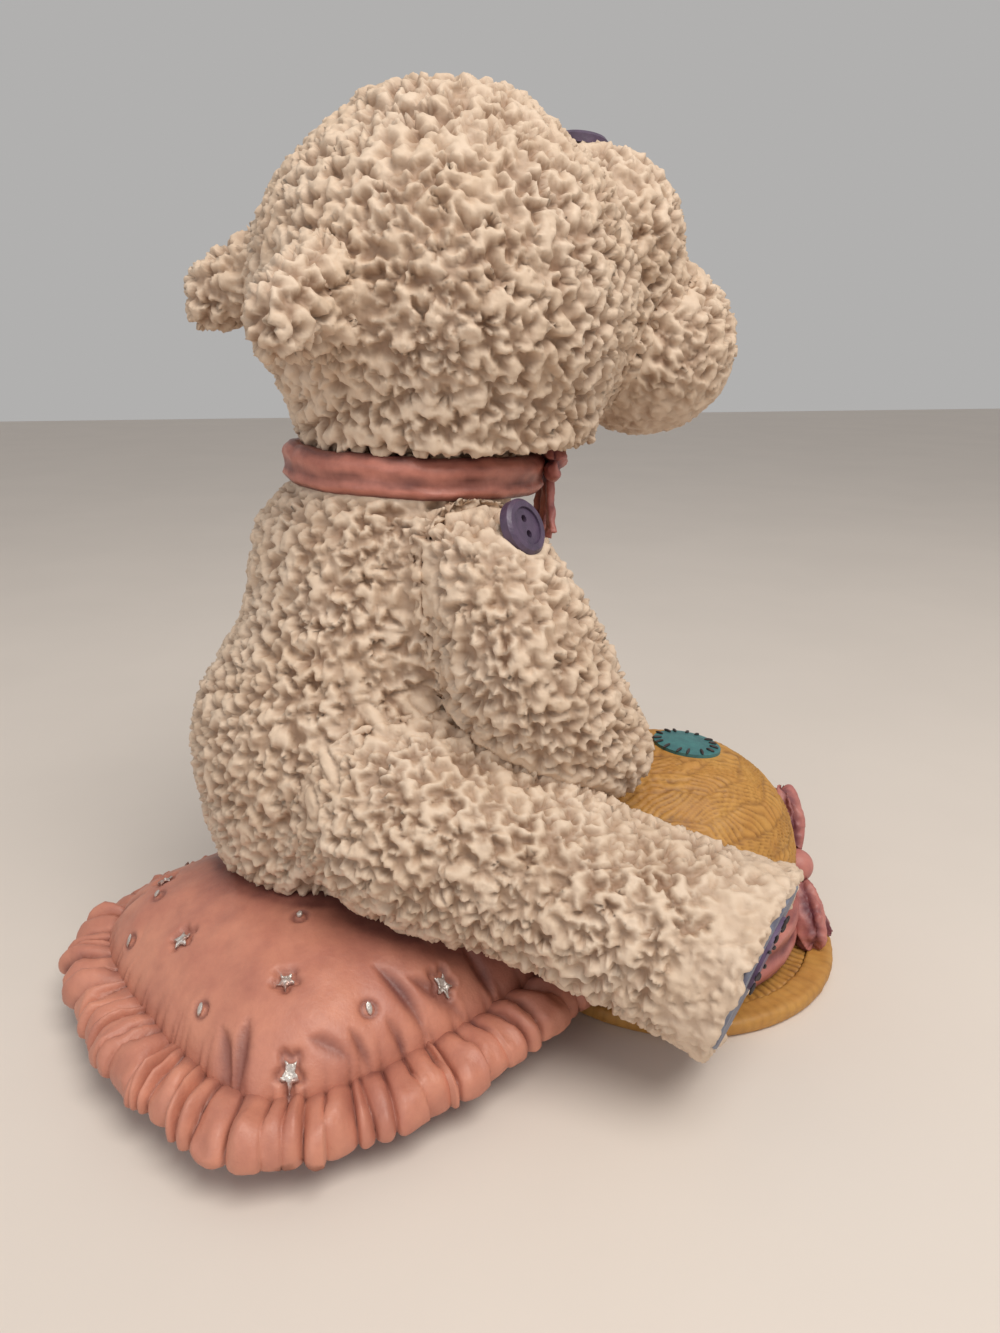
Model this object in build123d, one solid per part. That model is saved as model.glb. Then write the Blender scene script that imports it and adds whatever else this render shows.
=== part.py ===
# A seated lamb in cast and painted resin, made to look like a button-jointed toy. It sits on a
# ruffled pillow with its legs stretched forward and a straw hat between its feet.
# Lengths are in millimetres and angles in degrees. The lamb faces -Y, its own right side is -X,
# +Z is up, and the origin lies on the table under the middle of the lamb's seat.
import math
import os
import random

from build123d import *

os.makedirs("parts", exist_ok=True)

# Pillow: a square with bulging sides, turned under the lamb
pillow_x = -8.4
pillow_y = 1.2
pillow_turn = 29.5
pillow_half_width = 25.0
pillow_back_height = 6.6
pillow_crown_height = 12.0
# Height above the seam, then half width, each as a share of the crown or the pillow
pillow_top_shares = ((0.0, 1.0), (0.18, 0.985), (0.42, 0.92), (0.66, 0.79), (0.86, 0.56), (1.0, 0.2))
pillow_back_shares = ((0.0, 0.8), (0.3, 0.91), (0.65, 0.975), (1.0, 1.0))
# Where a side's arc ends, its end's own reach, and the corner, as shares of the half width
side_end_share = 0.5
side_reach_share = 0.965
corner_share = 0.835
ruffle_width = 5.6
ruffle_thickness = 1.6
ruffle_root_share = 0.86
ruffle_drop = 0.8
pleat_count = 48
pleat_radius = 2.1
pleat_root_radius = 1.2
scallop_depth = 0.9

# Silver stars and beads, proud of the pillow, at shares of its half width along its own sides
trim_rise = 0.4
star_radius = 1.15
star_waist_share = 0.45
star_points = 5
star_turn = 40.0
star_place_shares = (
    (0.10, 0.76), (-0.555, 0.58), (-0.885, -0.02), (-0.84, 0.74),
    (0.66, 0.60), (0.88, 0.08), (-0.36, -0.88),
)
bead_radius = 0.55
bead_place_shares = (
    (0.43, 0.895), (-0.28, 0.345), (-0.33, 0.88), (-0.845, 0.35), (0.52, 0.70),
    (0.86, 0.40), (0.93, -0.22), (0.04, -0.93),
)

# Torso: upright oval sections from the seat to the neck
seat_sink = 7.0
torso_height = 58.0
torso_half_width = 18.4
torso_half_depth = 18.4
# Height, half width, half depth, and how far the middle lies back, as shares of the torso
torso_section_shares = (
    (0.0, 0.60, 0.58, 0.0),
    (0.10, 0.88, 0.86, -0.06),
    (0.225, 0.98, 0.97, -0.06),
    (0.37, 1.0, 1.0, -0.05),
    (0.50, 0.98, 0.97, -0.12),
    (0.64, 0.93, 0.88, -0.30),
    (0.77, 0.90, 0.83, -0.36),
    (0.89, 0.84, 0.79, -0.48),
    (1.0, 0.78, 0.76, -0.65),
)
neck_width_share, neck_depth_share, neck_back_share = torso_section_shares[-1][1:]

# Head: a full round wool cap that narrows to the neck, turned a little to the lamb's left
head_turn = 15.0
head_ahead = 4.0
head_radius = 22.6
head_height = 38.3
head_start_lean = 0.3
head_profile_shares = (
    (0.78, 0.0), (0.84, 0.13), (0.945, 0.26), (0.99, 0.44), (0.82, 0.75), (0.53, 0.91), (0.0, 1.0),
)
brow_half_width = 13.2
brow_half_depth = 11.4
brow_half_height = 11.3
brow_ahead_share = 0.845
brow_height_share = 0.60
muzzle_radius = 11.4
muzzle_half_width = 12.8
muzzle_ahead_share = 1.243
muzzle_height_share = 0.292

# Ears: short cones that droop, set well back on the sides of the head
ear_angle = 148.0
ear_length = 15.8
ear_root_depth = 7.5
ear_half_height = 6.2
ear_half_thickness = 4.6
ear_droop = 5.2
right_ear_height_share = 0.475
left_ear_height_share = 0.56
# Length along the ear, then its half height and half thickness
ear_section_shares = (
    (0.0, 1.08, 1.04), (0.35, 1.02, 0.98), (0.70, 0.80, 0.86), (0.92, 0.62, 0.66), (1.0, 0.36, 0.38),
)

# Face: bead eyes, a stitched nose and a stitched mouth
eye_radius = 1.6
eye_spread = 3.9
eye_sink = 1.0
eye_height_share = 0.24
nose_width = 5.6
nose_height = 3.6
nose_corner_radius = 0.8
stitch_rise = 0.35
stitch_width = 0.75
nose_top_share = 0.62
mouth_drop = 3.6
mouth_arc_radius = 4.2
mouth_arc_angle = 100.0

# Legs: stretched forward and splayed, each ending in a flat sole
leg_length = 43.3
leg_radius = 11.2
leg_splay = 30.7
leg_drop = 16.0
hip_side_share = 0.86
hip_ahead_share = 0.385
hip_height_share = 0.295
leg_section_shares = ((0.0, 1.12), (0.3, 1.02), (0.6, 0.95), (0.82, 0.985), (1.0, 1.08))
sole_splay = 12.0
pad_radius = 10.1
pad_thickness = 1.2
pad_recess = 0.8
pad_bevel = 0.4
sole_patch_radius = 4.3
sole_patch_thickness = 0.4
sole_patch_offset = 2.2

# Arms: hung from the shoulders, paws resting on the thighs
arm_length = 29.6
arm_radius = 9.0
shoulder_side_share = 0.85
shoulder_ahead_share = 0.895
shoulder_height_share = 0.829
# Side, ahead and down along the arm, then the radius
arm_section_shares = (
    (0.0, 0.0, 0.0, 0.77),
    (0.09, 0.07, 0.18, 0.90),
    (0.11, 0.15, 0.39, 1.04),
    (0.10, 0.29, 0.62, 0.98),
    (0.07, 0.47, 0.80, 0.74),
)
cap_angles = (72.0, 38.0)

# Buttons: one on each shoulder and one on the forehead
button_radius = 3.1
button_thickness = 1.3
button_bevel = 0.35
button_dish_radius = 2.1
button_dish_depth = 0.25
button_hole_radius = 0.42
button_hole_spacing = 1.7
button_ahead_angle = 43.0
button_up_angle = 24.0
button_sink = 0.7
button_clearance = 0.15
forehead_button_ahead_share = 0.80
forehead_button_tilt = 8.0

# Ribbon and bow at the neck
ribbon_height = 4.6
ribbon_thickness = 1.3
ribbon_gap = 0.2
ribbon_edge_radius = 0.55
ribbon_tilt = 3.0
bow_knot_radius = 1.7
bow_knot_depth = 1.2
bow_loop_length = 9.0
bow_loop_height = 5.4
bow_loop_thickness = 2.6
bow_loop_tilt = 10.0
bow_sweep = 9.0
bow_tail_length = 9.5
bow_tail_width = 4.2
bow_tail_thickness = 0.9
bow_tail_lean = 20.0
# Along a loop, then its height and thickness
bow_loop_shares = (
    (0.0, 0.28, 0.45), (0.35, 0.68, 0.8), (0.7, 1.0, 1.0), (0.92, 0.78, 0.7), (1.0, 0.4, 0.35),
)
bow_tail_root_share = 0.5
bow_tail_notch_share = 0.33

# Hat: lying brim down between the feet
hat_x = -5.9
hat_y = -45.9
brim_radius = 22.7
brim_thickness = 1.8
brim_inner_thickness = 2.8
rim_band_width = 3.5
rim_band_thickness = 2.2
rim_band_edge_radius = 0.8
crown_radius = 18.2
crown_height = 30.0
crown_shift = 2.0
crown_start_lean = 0.1
crown_profile_shares = (
    (0.91, 0.0), (0.95, 0.2), (1.0, 0.44), (0.885, 0.74), (0.52, 0.935), (0.0, 1.0),
)
hat_ribbon_height = 6.0
hat_ribbon_thickness = 1.1
hat_bow_turn = -7.0
hat_bow_height = 10.5
hat_bow_depth = 0.8
hat_bow_tilt = 46.0
hat_loop_length = 11.5
hat_loop_height = 7.0
hat_loop_thickness = 3.6
hat_knot_radius = 2.4
hat_tail_length = 10.5
hat_tail_width = 5.0
hat_tail_thickness = 1.0
hat_tail_spread = 30.0
hat_tail_lean = 24.0
hat_patch_radius = 4.5
hat_patch_ahead = 3.2
hat_patch_rise = 0.45

# Wool: the main hollows between the tufts, each a small pyramid with its point down
hollow_pitch = 5.3
hollow_row_share = 0.87
hollow_radius = 2.1
hollow_depth = 0.9
hollow_clearance = 0.5
# How far a hollow may stray, and how much larger or smaller it may be
hollow_stray_share = 0.16
hollow_size_share = 0.18
hollow_sides = (3, 4)
hollow_seed = 4
# How far from its line the surface may be, so that the brow has rows of its own
hollow_reach_share = 1.13
# The heights of the line inside the head and the torso that the rows of hollows go round
head_core_shares = (0.42, 0.56)
torso_core_shares = (0.30, 0.90)

# How far a cutting tool runs past what it cuts
overrun = 1.0

pieces = {}


def largest(shape):
    # A cut can leave slivers, and a piece is its one main solid
    return max(shape.solids(), key=lambda solid: solid.volume)


def trimmed(shape, *neighbours):
    shape = largest(shape)
    for neighbour in neighbours:
        shape = largest(shape - neighbour)
    return shape


def both_sides(name, right_piece):
    pieces[name + "_right"] = right_piece
    pieces[name + "_left"] = mirror(right_piece, about=Plane.YZ)


def ball(centre, radii):
    return Pos(*centre) * scale(Sphere(1), by=radii)


# Pillow

def pillow_outline(half_width, height):
    # Four shallow side arcs and four corner arcs
    end = half_width * side_end_share
    reach = half_width * side_reach_share
    corner = half_width * corner_share
    side = ThreePointArc((reach, -end), (half_width, 0), (reach, end))
    bend = ThreePointArc((reach, end), (corner, corner), (end, reach))
    edges = [Rot(0, 0, 90 * quarter) * edge for quarter in range(4) for edge in (side, bend)]
    return Pos(0, 0, height) * make_face(Wire(edges))


def cushion(shares, base, height):
    return loft([pillow_outline(pillow_half_width * wide, base + height * high) for high, wide in shares])


def outline_radius(half_width, angle):
    # The pillow's outline as one smooth closed curve, for the ruffle's scallops
    roundness = math.log(0.5) / math.log(corner_share)
    cosine = abs(math.cos(angle)) ** roundness
    sine = abs(math.sin(angle)) ** roundness
    return half_width / (cosine + sine) ** (1 / roundness)


def ruffle_piece(middle_height):
    # A scalloped plate with one tapered pleat for each scallop
    outer = pillow_half_width + ruffle_width
    root = pillow_half_width * ruffle_root_share
    step = 2 * math.pi / pleat_count
    arcs = []
    pleats = []
    for index in range(pleat_count):
        start, middle, end = (index * step, (index + 0.5) * step, (index + 1) * step)
        radii = (
            outline_radius(outer, start) - scallop_depth,
            outline_radius(outer, middle),
            outline_radius(outer, end) - scallop_depth,
        )
        points = [
            (radius * math.cos(angle), radius * math.sin(angle))
            for radius, angle in zip(radii, (start, middle, end))
        ]
        arcs.append(ThreePointArc(*points))
        reach = radii[1] - scallop_depth
        inner = outline_radius(root, middle)
        fold = Cone(
            pleat_root_radius, pleat_radius, reach - inner, align=(Align.CENTER, Align.CENTER, Align.MIN)
        )
        lean = math.degrees(math.atan2(ruffle_drop, reach - inner))
        place = Rot(0, 0, math.degrees(middle)) * Pos(inner, 0, middle_height) * Rot(0, 90 + lean, 0)
        pleats.append(place * fold)
    plate = extrude(make_face(Wire(arcs)), amount=ruffle_thickness)
    plate = Pos(0, 0, middle_height - ruffle_drop - ruffle_thickness / 2) * plate
    return plate.fuse(*pleats)


def star_outline():
    points = []
    for corner in range(2 * star_points):
        radius = star_radius if corner % 2 == 0 else star_radius * star_waist_share
        angle = math.pi * corner / star_points
        points.append((radius * math.cos(angle), radius * math.sin(angle)))
    return make_face(Polyline(*points, close=True))


def proud_trim(carrier, rise, outlines, depth):
    # Thin solids that follow the carrier's surface, one above each outline
    skin = Pos(0, 0, rise) * carrier
    layer = skin - carrier
    found = []
    for outline in outlines:
        chip = extrude(outline, amount=depth) & layer
        found.append(largest(chip))
    return found


pillow_place = Pos(pillow_x, pillow_y, 0) * Rot(0, 0, pillow_turn)
crown_top = pillow_back_height + pillow_crown_height
pillow_back = pillow_place * cushion(pillow_back_shares, 0, pillow_back_height)
pillow_top = pillow_place * cushion(pillow_top_shares, pillow_back_height, pillow_crown_height)
pillow_ruffle = trimmed(pillow_place * ruffle_piece(pillow_back_height), pillow_top, pillow_back)
pieces["pillow_back"] = pillow_back
pieces["pillow_top"] = pillow_top
pieces["pillow_ruffle"] = pillow_ruffle


def on_pillow(shares, outline, turn):
    along, across = shares
    place = Pos(pillow_half_width * along, pillow_half_width * across, pillow_back_height)
    return pillow_place * place * Rot(0, 0, turn * (along + across)) * outline


# Torso

torso_base = crown_top - seat_sink
neck_height = torso_base + torso_height
neck_y = torso_half_depth * neck_back_share


def torso_section(high, wide, deep, back):
    place = Pos(0, torso_half_depth * back, torso_base + torso_height * high)
    return place * Ellipse(torso_half_width * wide, torso_half_depth * deep)


torso = loft([torso_section(*shares) for shares in torso_section_shares])
torso = trimmed(torso, pillow_top)
pieces["torso"] = torso

# Head, made with its axis on Z and then turned on the neck

head_place = Pos(0, neck_y - head_ahead, neck_height) * Rot(0, 0, head_turn)
profile_points = [(head_radius * wide, head_height * high) for wide, high in head_profile_shares]
head_curve = Spline(*profile_points, tangents=((head_start_lean, 1), (-1, 0)))
head_close = Polyline(profile_points[-1], (0, 0), profile_points[0])
head_half = Plane.XZ * make_face(head_curve.edges() + head_close.edges())
cap = revolve(head_half, Axis.Z)
brow_centre = (0, -head_radius * brow_ahead_share, head_height * brow_height_share)
brow = ball(brow_centre, (brow_half_width, brow_half_depth, brow_half_height))
head_local = largest(cap + brow)
muzzle_centre = (0, -head_radius * muzzle_ahead_share, head_height * muzzle_height_share)
muzzle_ball = ball(muzzle_centre, (muzzle_half_width, muzzle_radius, muzzle_radius))
muzzle_local = trimmed(muzzle_ball, head_local)
pieces["head"] = head_place * head_local
pieces["muzzle"] = head_place * muzzle_local


def ear_piece():
    # Built along -Y, standing on its root, then turned out to its angle
    sections = []
    for along, tall, thick in ear_section_shares:
        drop = ear_droop * along
        place = Pos(0, ear_root_depth - head_radius - ear_length * along, -drop)
        oval = Ellipse(ear_half_thickness * thick, ear_half_height * tall)
        sections.append(place * Rot(90, 0, 0) * oval)
    return loft(sections)


for side_name, side_sign, height_share in (
    ("right", -1, right_ear_height_share), ("left", 1, left_ear_height_share),
):
    ear = Pos(0, 0, head_height * height_share) * Rot(0, 0, side_sign * ear_angle) * ear_piece()
    pieces["ear_" + side_name] = head_place * trimmed(ear, head_local)

# Face

eye_height = brow_half_height * eye_height_share
eye_forward = brow_half_depth * math.sqrt(
    1 - (eye_spread / brow_half_width) ** 2 - eye_height_share ** 2
)
eyes = []
for side_sign in (-1, 1):
    eye_centre = (
        side_sign * eye_spread,
        brow_centre[1] - eye_forward + eye_sink,
        brow_centre[2] + eye_height,
    )
    eye = trimmed(Pos(*eye_centre) * Sphere(eye_radius), head_local)
    eyes.append(head_place * eye)
pieces["eyes"] = Compound(children=eyes)

stitch_radius = muzzle_radius + stitch_rise
stitch_ball = ball(muzzle_centre, (muzzle_half_width + stitch_rise, stitch_radius, stitch_radius))
stitch_layer = stitch_ball - muzzle_ball - head_local
face_plane = Plane(origin=muzzle_centre, x_dir=(1, 0, 0), z_dir=(0, -1, 0))
nose_top = muzzle_radius * nose_top_share
nose_bottom = nose_top - nose_height
nose_outline = make_face(Polyline(
    (-nose_width / 2, nose_top), (nose_width / 2, nose_top), (0, nose_bottom), close=True,
))
nose_outline = fillet(nose_outline.vertices(), radius=nose_corner_radius)
stitch_depth = muzzle_radius + overrun
nose = extrude(face_plane * nose_outline, amount=stitch_depth) & stitch_layer
pieces["nose_stitching"] = head_place * largest(nose)

mouth_top = nose_bottom
mouth_middle = nose_bottom - mouth_drop
seam_line = Pos(0, (mouth_top + mouth_middle) / 2) * Rectangle(stitch_width, mouth_drop + stitch_width)
mouth_outline = seam_line
for side_sign in (-1, 1):
    ring = Circle(mouth_arc_radius + stitch_width / 2) - Circle(mouth_arc_radius - stitch_width / 2)
    reach = mouth_arc_radius + stitch_width
    wedge_angle = math.radians(mouth_arc_angle)
    wedge = make_face(Polyline(
        (0, 0), (0, -2 * reach),
        (-side_sign * 2 * reach * math.sin(wedge_angle), -2 * reach * math.cos(wedge_angle)),
        close=True,
    ))
    arc_piece = ring & wedge
    mouth_outline = mouth_outline + Pos(side_sign * mouth_arc_radius, mouth_middle) * arc_piece
mouth = extrude(face_plane * mouth_outline, amount=stitch_depth) & stitch_layer
pieces["mouth_stitching"] = head_place * trimmed(mouth, nose)


# Limbs

def limb(points, radii, round_start, round_end, end_direction=None):
    # Round sections square to the path, with a domed end where one is asked for. They all start
    # on the same side, so that the skin between them doesn't twist.
    count = len(points)
    sections = []

    def section(centre, direction, radius):
        sideways = Vector(1, 0, 0) - direction * direction.X
        plane = Plane(origin=centre, x_dir=sideways, z_dir=direction)
        sections.append(plane * Circle(radius))

    for index in range(count):
        before = points[max(index - 1, 0)]
        after = points[min(index + 1, count - 1)]
        direction = (after - before).normalized()
        if index == count - 1 and end_direction is not None:
            direction = end_direction
        radius = radii[index]
        if index == 0 and round_start:
            for angle in cap_angles:
                reach = radius * math.sin(math.radians(angle))
                section(points[0] - direction * reach, direction, radius * math.cos(math.radians(angle)))
        section(points[index], direction, radius)
        if index == count - 1 and round_end:
            for angle in reversed(cap_angles):
                reach = radius * math.sin(math.radians(angle))
                section(points[-1] + direction * reach, direction, radius * math.cos(math.radians(angle)))
    return loft(sections)


hip = Vector(
    -torso_half_width * hip_side_share,
    -torso_half_depth * hip_ahead_share,
    torso_base + torso_height * hip_height_share,
)


def level_direction(angle, drop):
    # A unit vector forward, turned out to the lamb's right and tipped down
    level = math.cos(math.radians(drop))
    turn = math.radians(angle)
    return Vector(-math.sin(turn) * level, -math.cos(turn) * level, -math.sin(math.radians(drop)))


leg_direction = level_direction(leg_splay, leg_drop)
leg_points = [hip + leg_direction * (leg_length * along) for along, _ in leg_section_shares]
leg_radii = [leg_radius * wide for _, wide in leg_section_shares]
sole_direction = level_direction(leg_splay + sole_splay, leg_drop)
sole_centre = leg_points[-1]
sole_plane = Plane(origin=sole_centre, x_dir=(0, 0, 1), z_dir=sole_direction)
leg = limb(leg_points, leg_radii, True, False, sole_direction)
recess = extrude(sole_plane * Circle(pad_radius), amount=-pad_recess)
leg = trimmed(leg, recess, torso, pillow_top, pillow_ruffle)
pad_floor = sole_plane.offset(-pad_recess)
pad = extrude(pad_floor * Circle(pad_radius), amount=pad_thickness)
pad_rims = pad.edges().filter_by(GeomType.CIRCLE).sort_by(Axis(sole_centre, sole_direction))
pad = largest(chamfer(pad_rims[-1], length=pad_bevel))
patch_plane = pad_floor.offset(pad_thickness)
patch_outline = Pos(sole_patch_offset, 0) * Circle(sole_patch_radius)
sole_patch = extrude(patch_plane * patch_outline, amount=sole_patch_thickness)
both_sides("leg", leg)
both_sides("sole_pad", pad)
both_sides("sole_patch", largest(sole_patch))

shoulder = Vector(
    -torso_half_width * shoulder_side_share,
    -torso_half_depth * shoulder_ahead_share,
    torso_base + torso_height * shoulder_height_share,
)
arm_points = [
    shoulder + Vector(-side, -ahead, -down) * arm_length for side, ahead, down, _ in arm_section_shares
]
arm_radii = [arm_radius * shares[-1] for shares in arm_section_shares]


# Buttons, and the arms and head with a seat cut for each

def button_solid():
    disc = Cylinder(button_radius, button_thickness, align=(Align.CENTER, Align.CENTER, Align.MIN))
    rims = disc.edges().filter_by(GeomType.CIRCLE).sort_by(Axis.Z)
    disc = chamfer(rims[-1], length=button_bevel)
    dish_floor = button_thickness - button_dish_depth
    dish = Pos(0, 0, dish_floor) * Cylinder(
        button_dish_radius, overrun, align=(Align.CENTER, Align.CENTER, Align.MIN)
    )
    disc = disc - dish
    for side_sign in (-1, 1):
        hole_place = Pos(side_sign * button_hole_spacing / 2, 0, -overrun)
        hole = Cylinder(
            button_hole_radius, button_thickness + 2 * overrun, align=(Align.CENTER, Align.CENTER, Align.MIN)
        )
        disc = disc - hole_place * hole
    return largest(disc)


def button_seat(place):
    # A flat seat for the button, cut into the wool
    seat = Cylinder(
        button_radius + button_clearance, arm_radius, align=(Align.CENTER, Align.CENTER, Align.MIN)
    )
    return place * seat


button = button_solid()
button_level = math.cos(math.radians(button_up_angle))
button_direction = Vector(
    -math.cos(math.radians(button_ahead_angle)) * button_level,
    -math.sin(math.radians(button_ahead_angle)) * button_level,
    math.sin(math.radians(button_up_angle)),
)
button_centre = shoulder + button_direction * (arm_radii[0] - button_sink)
button_place = Plane(origin=button_centre, x_dir=(0, 0, 1), z_dir=button_direction).location
arm = trimmed(limb(arm_points, arm_radii, True, True), torso, leg, button_seat(button_place))
both_sides("arm", arm)
both_sides("shoulder_button", trimmed(button_place * button, torso, arm))

forehead_ahead = head_radius * forehead_button_ahead_share
forehead_behind = (-brow_centre[1] - forehead_ahead) / brow_half_depth
forehead_top = brow_centre[2] + brow_half_height * math.sqrt(1 - forehead_behind ** 2)
forehead_place = Pos(0, -forehead_ahead, forehead_top - button_sink) * Rot(forehead_button_tilt, 0, 0)
head_local = trimmed(head_local, button_seat(forehead_place))
pieces["head"] = head_place * head_local
pieces["forehead_button"] = head_place * trimmed(forehead_place * button, head_local)

# Ribbon round the neck, just under the head

ribbon_inner = torso_half_depth * neck_depth_share - ribbon_thickness
ribbon_outer = torso_half_width * neck_width_share + ribbon_thickness
ribbon_low = neck_height - ribbon_gap - ribbon_height
band = Rectangle(ribbon_outer - ribbon_inner, ribbon_height, align=Align.MIN)
band = fillet(band.vertices().sort_by(Axis.X)[-2:], radius=ribbon_edge_radius)
band = Plane.XZ * Pos(ribbon_inner, ribbon_low) * band
ribbon_middle = Pos(0, neck_y, ribbon_low + ribbon_height / 2)
band_ring = Pos(0, 0, -ribbon_low - ribbon_height / 2) * revolve(band, Axis.Z)
neck_ribbon = ribbon_middle * Rot(ribbon_tilt, 0, 0) * band_ring
neck_ribbon = trimmed(neck_ribbon, torso, pieces["head"], arm, pieces["arm_left"])
pieces["neck_ribbon"] = neck_ribbon


# Bows: one shape of loop and tail serves the neck and the hat

def bow_loop(length, height, thickness):
    # A swelling loop along +X from the knot
    sections = []
    for along, tall, thick in bow_loop_shares:
        oval = Ellipse(height * tall / 2, thickness * thick / 2)
        sections.append(Pos(length * along, 0, 0) * Rot(0, 90, 0) * oval)
    return loft(sections)


def bow_tail(length, width, thickness):
    # A widening strip along -Z with a notched end, in the XZ plane
    end = width / 2
    root = end * bow_tail_root_share
    notch = width * bow_tail_notch_share
    outline = make_face(Polyline(
        (-root, 0), (root, 0), (end, -length), (0, -length + notch), (-end, -length), close=True,
    ))
    return extrude(Plane.XZ * outline, amount=thickness / 2, both=True)


bow_centre = Pos(0, neck_y - ribbon_outer - bow_knot_depth, ribbon_low + ribbon_height / 2)
knot = trimmed(bow_centre * Sphere(bow_knot_radius), neck_ribbon, torso)
pieces["bow_knot"] = knot
loop = bow_loop(bow_loop_length, bow_loop_height, bow_loop_thickness)
loop = bow_centre * Rot(0, -bow_loop_tilt, bow_sweep) * loop
loop = trimmed(mirror(loop, about=Plane.YZ), knot, neck_ribbon, torso, arm, pieces["head"])
loop = trimmed(loop, mirror(pieces["head"], about=Plane.YZ))
both_sides("bow_loop", loop)
tail = bow_tail(bow_tail_length, bow_tail_width, bow_tail_thickness)
tail = bow_centre * Rot(0, 0, -bow_sweep) * Rot(0, bow_tail_lean, 0) * tail
tail = trimmed(tail, knot, loop, pieces["bow_loop_left"], neck_ribbon, torso, arm)
both_sides("bow_tail", tail)
pieces["bow_tail_left"] = trimmed(pieces["bow_tail_left"], tail)

# Hat: crown, brim with its smooth rim band, ribbon, bow and round patch

hat_place = Pos(hat_x, hat_y, 0)
crown_place = Pos(0, crown_shift, 0)
crown_points = [(crown_radius * wide, crown_height * high) for wide, high in crown_profile_shares]
crown_curve = Spline(*crown_points, tangents=((crown_start_lean, 1), (-1, 0)))
crown_close = Polyline(crown_points[-1], (0, 0), crown_points[0])
crown_half = Plane.XZ * make_face(crown_curve.edges() + crown_close.edges())
crown = crown_place * revolve(crown_half, Axis.Z)
rim_inner = brim_radius - rim_band_width
brim_profile = make_face(Polyline(
    (0, 0), (rim_inner, 0), (rim_inner, brim_thickness), (0, brim_inner_thickness), close=True,
))
brim = revolve(Plane.XZ * brim_profile, Axis.Z)
rim_profile = Pos(rim_inner, 0) * Rectangle(rim_band_width, rim_band_thickness, align=Align.MIN)
rim_profile = fillet(rim_profile.vertices().sort_by(Axis.X)[-2:], radius=rim_band_edge_radius)
rim_band = revolve(Plane.XZ * rim_profile, Axis.Z)

lamb_parts = (leg, pieces["leg_left"], arm, pieces["arm_left"])
pillow_parts = (pillow_back, pillow_top, pillow_ruffle)
hat_crown = trimmed(hat_place * crown, *lamb_parts, *pillow_parts)
hat_brim = trimmed(hat_place * brim, hat_crown, *lamb_parts, *pillow_parts)
hat_rim_band = trimmed(hat_place * rim_band, hat_crown, *lamb_parts, *pillow_parts)
pieces["hat_crown"] = hat_crown
pieces["hat_brim"] = hat_brim
pieces["hat_rim_band"] = hat_rim_band

hat_band_profile = Pos(0, brim_inner_thickness) * Rectangle(
    crown_radius + hat_ribbon_thickness, hat_ribbon_height, align=Align.MIN
)
hat_band = hat_place * crown_place * revolve(Plane.XZ * hat_band_profile, Axis.Z)
hat_ribbon = trimmed(hat_band, hat_crown, hat_brim, hat_rim_band, *lamb_parts, *pillow_parts)
pieces["hat_ribbon"] = hat_ribbon

hat_bow_reach = crown_radius + hat_ribbon_thickness + hat_bow_depth
hat_bow_place = (
    hat_place * crown_place * Rot(0, 0, hat_bow_turn) * Pos(0, -hat_bow_reach, hat_bow_height)
)
hat_knot = trimmed(hat_bow_place * Sphere(hat_knot_radius), hat_crown, hat_ribbon, hat_brim)
pieces["hat_bow_knot"] = hat_knot
done = [hat_crown, hat_ribbon, hat_brim, hat_rim_band, hat_knot, *lamb_parts]
for side_name, turn in (("left", -hat_bow_tilt), ("right", 180 - hat_bow_tilt)):
    hat_loop = bow_loop(hat_loop_length, hat_loop_height, hat_loop_thickness)
    hat_loop = hat_bow_place * Rot(0, turn, 0) * hat_loop
    hat_loop = trimmed(hat_loop, *done)
    done.append(hat_loop)
    pieces["hat_bow_loop_" + side_name] = hat_loop
for side_name, lean in (("left", -hat_tail_spread), ("right", hat_tail_spread)):
    hat_tail = bow_tail(hat_tail_length, hat_tail_width, hat_tail_thickness)
    hat_tail = hat_bow_place * Rot(-hat_tail_lean, 0, 0) * Rot(0, lean, 0) * hat_tail
    hat_tail = trimmed(hat_tail, *done)
    done.append(hat_tail)
    pieces["hat_bow_tail_" + side_name] = hat_tail

patch_place = hat_place * crown_place * Pos(0, -hat_patch_ahead, crown_height / 2)
patch_chips = proud_trim(hat_crown, hat_patch_rise, [patch_place * Circle(hat_patch_radius)], crown_height)
pieces["hat_patch"] = patch_chips[0]

# Silver trim on the pillow, left out where the lamb sits on it

star = star_outline()
star_outlines = [on_pillow(shares, star, star_turn) for shares in star_place_shares]
bead_outlines = [on_pillow(shares, Circle(bead_radius), 0) for shares in bead_place_shares]
trim_depth = pillow_crown_height + overrun
for name, outlines in (("pillow_stars", star_outlines), ("pillow_beads", bead_outlines)):
    chips = proud_trim(pillow_top, trim_rise, outlines, trim_depth)
    pieces[name] = Compound(children=[trimmed(chip, pillow_ruffle) for chip in chips])


# Wool hollows, cut last and kept clear of every other piece

hollow_dice = random.Random(hollow_seed)
plain_pieces = dict(pieces)
plain_boxes = {name: piece.bounding_box() for name, piece in plain_pieces.items()}


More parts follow.
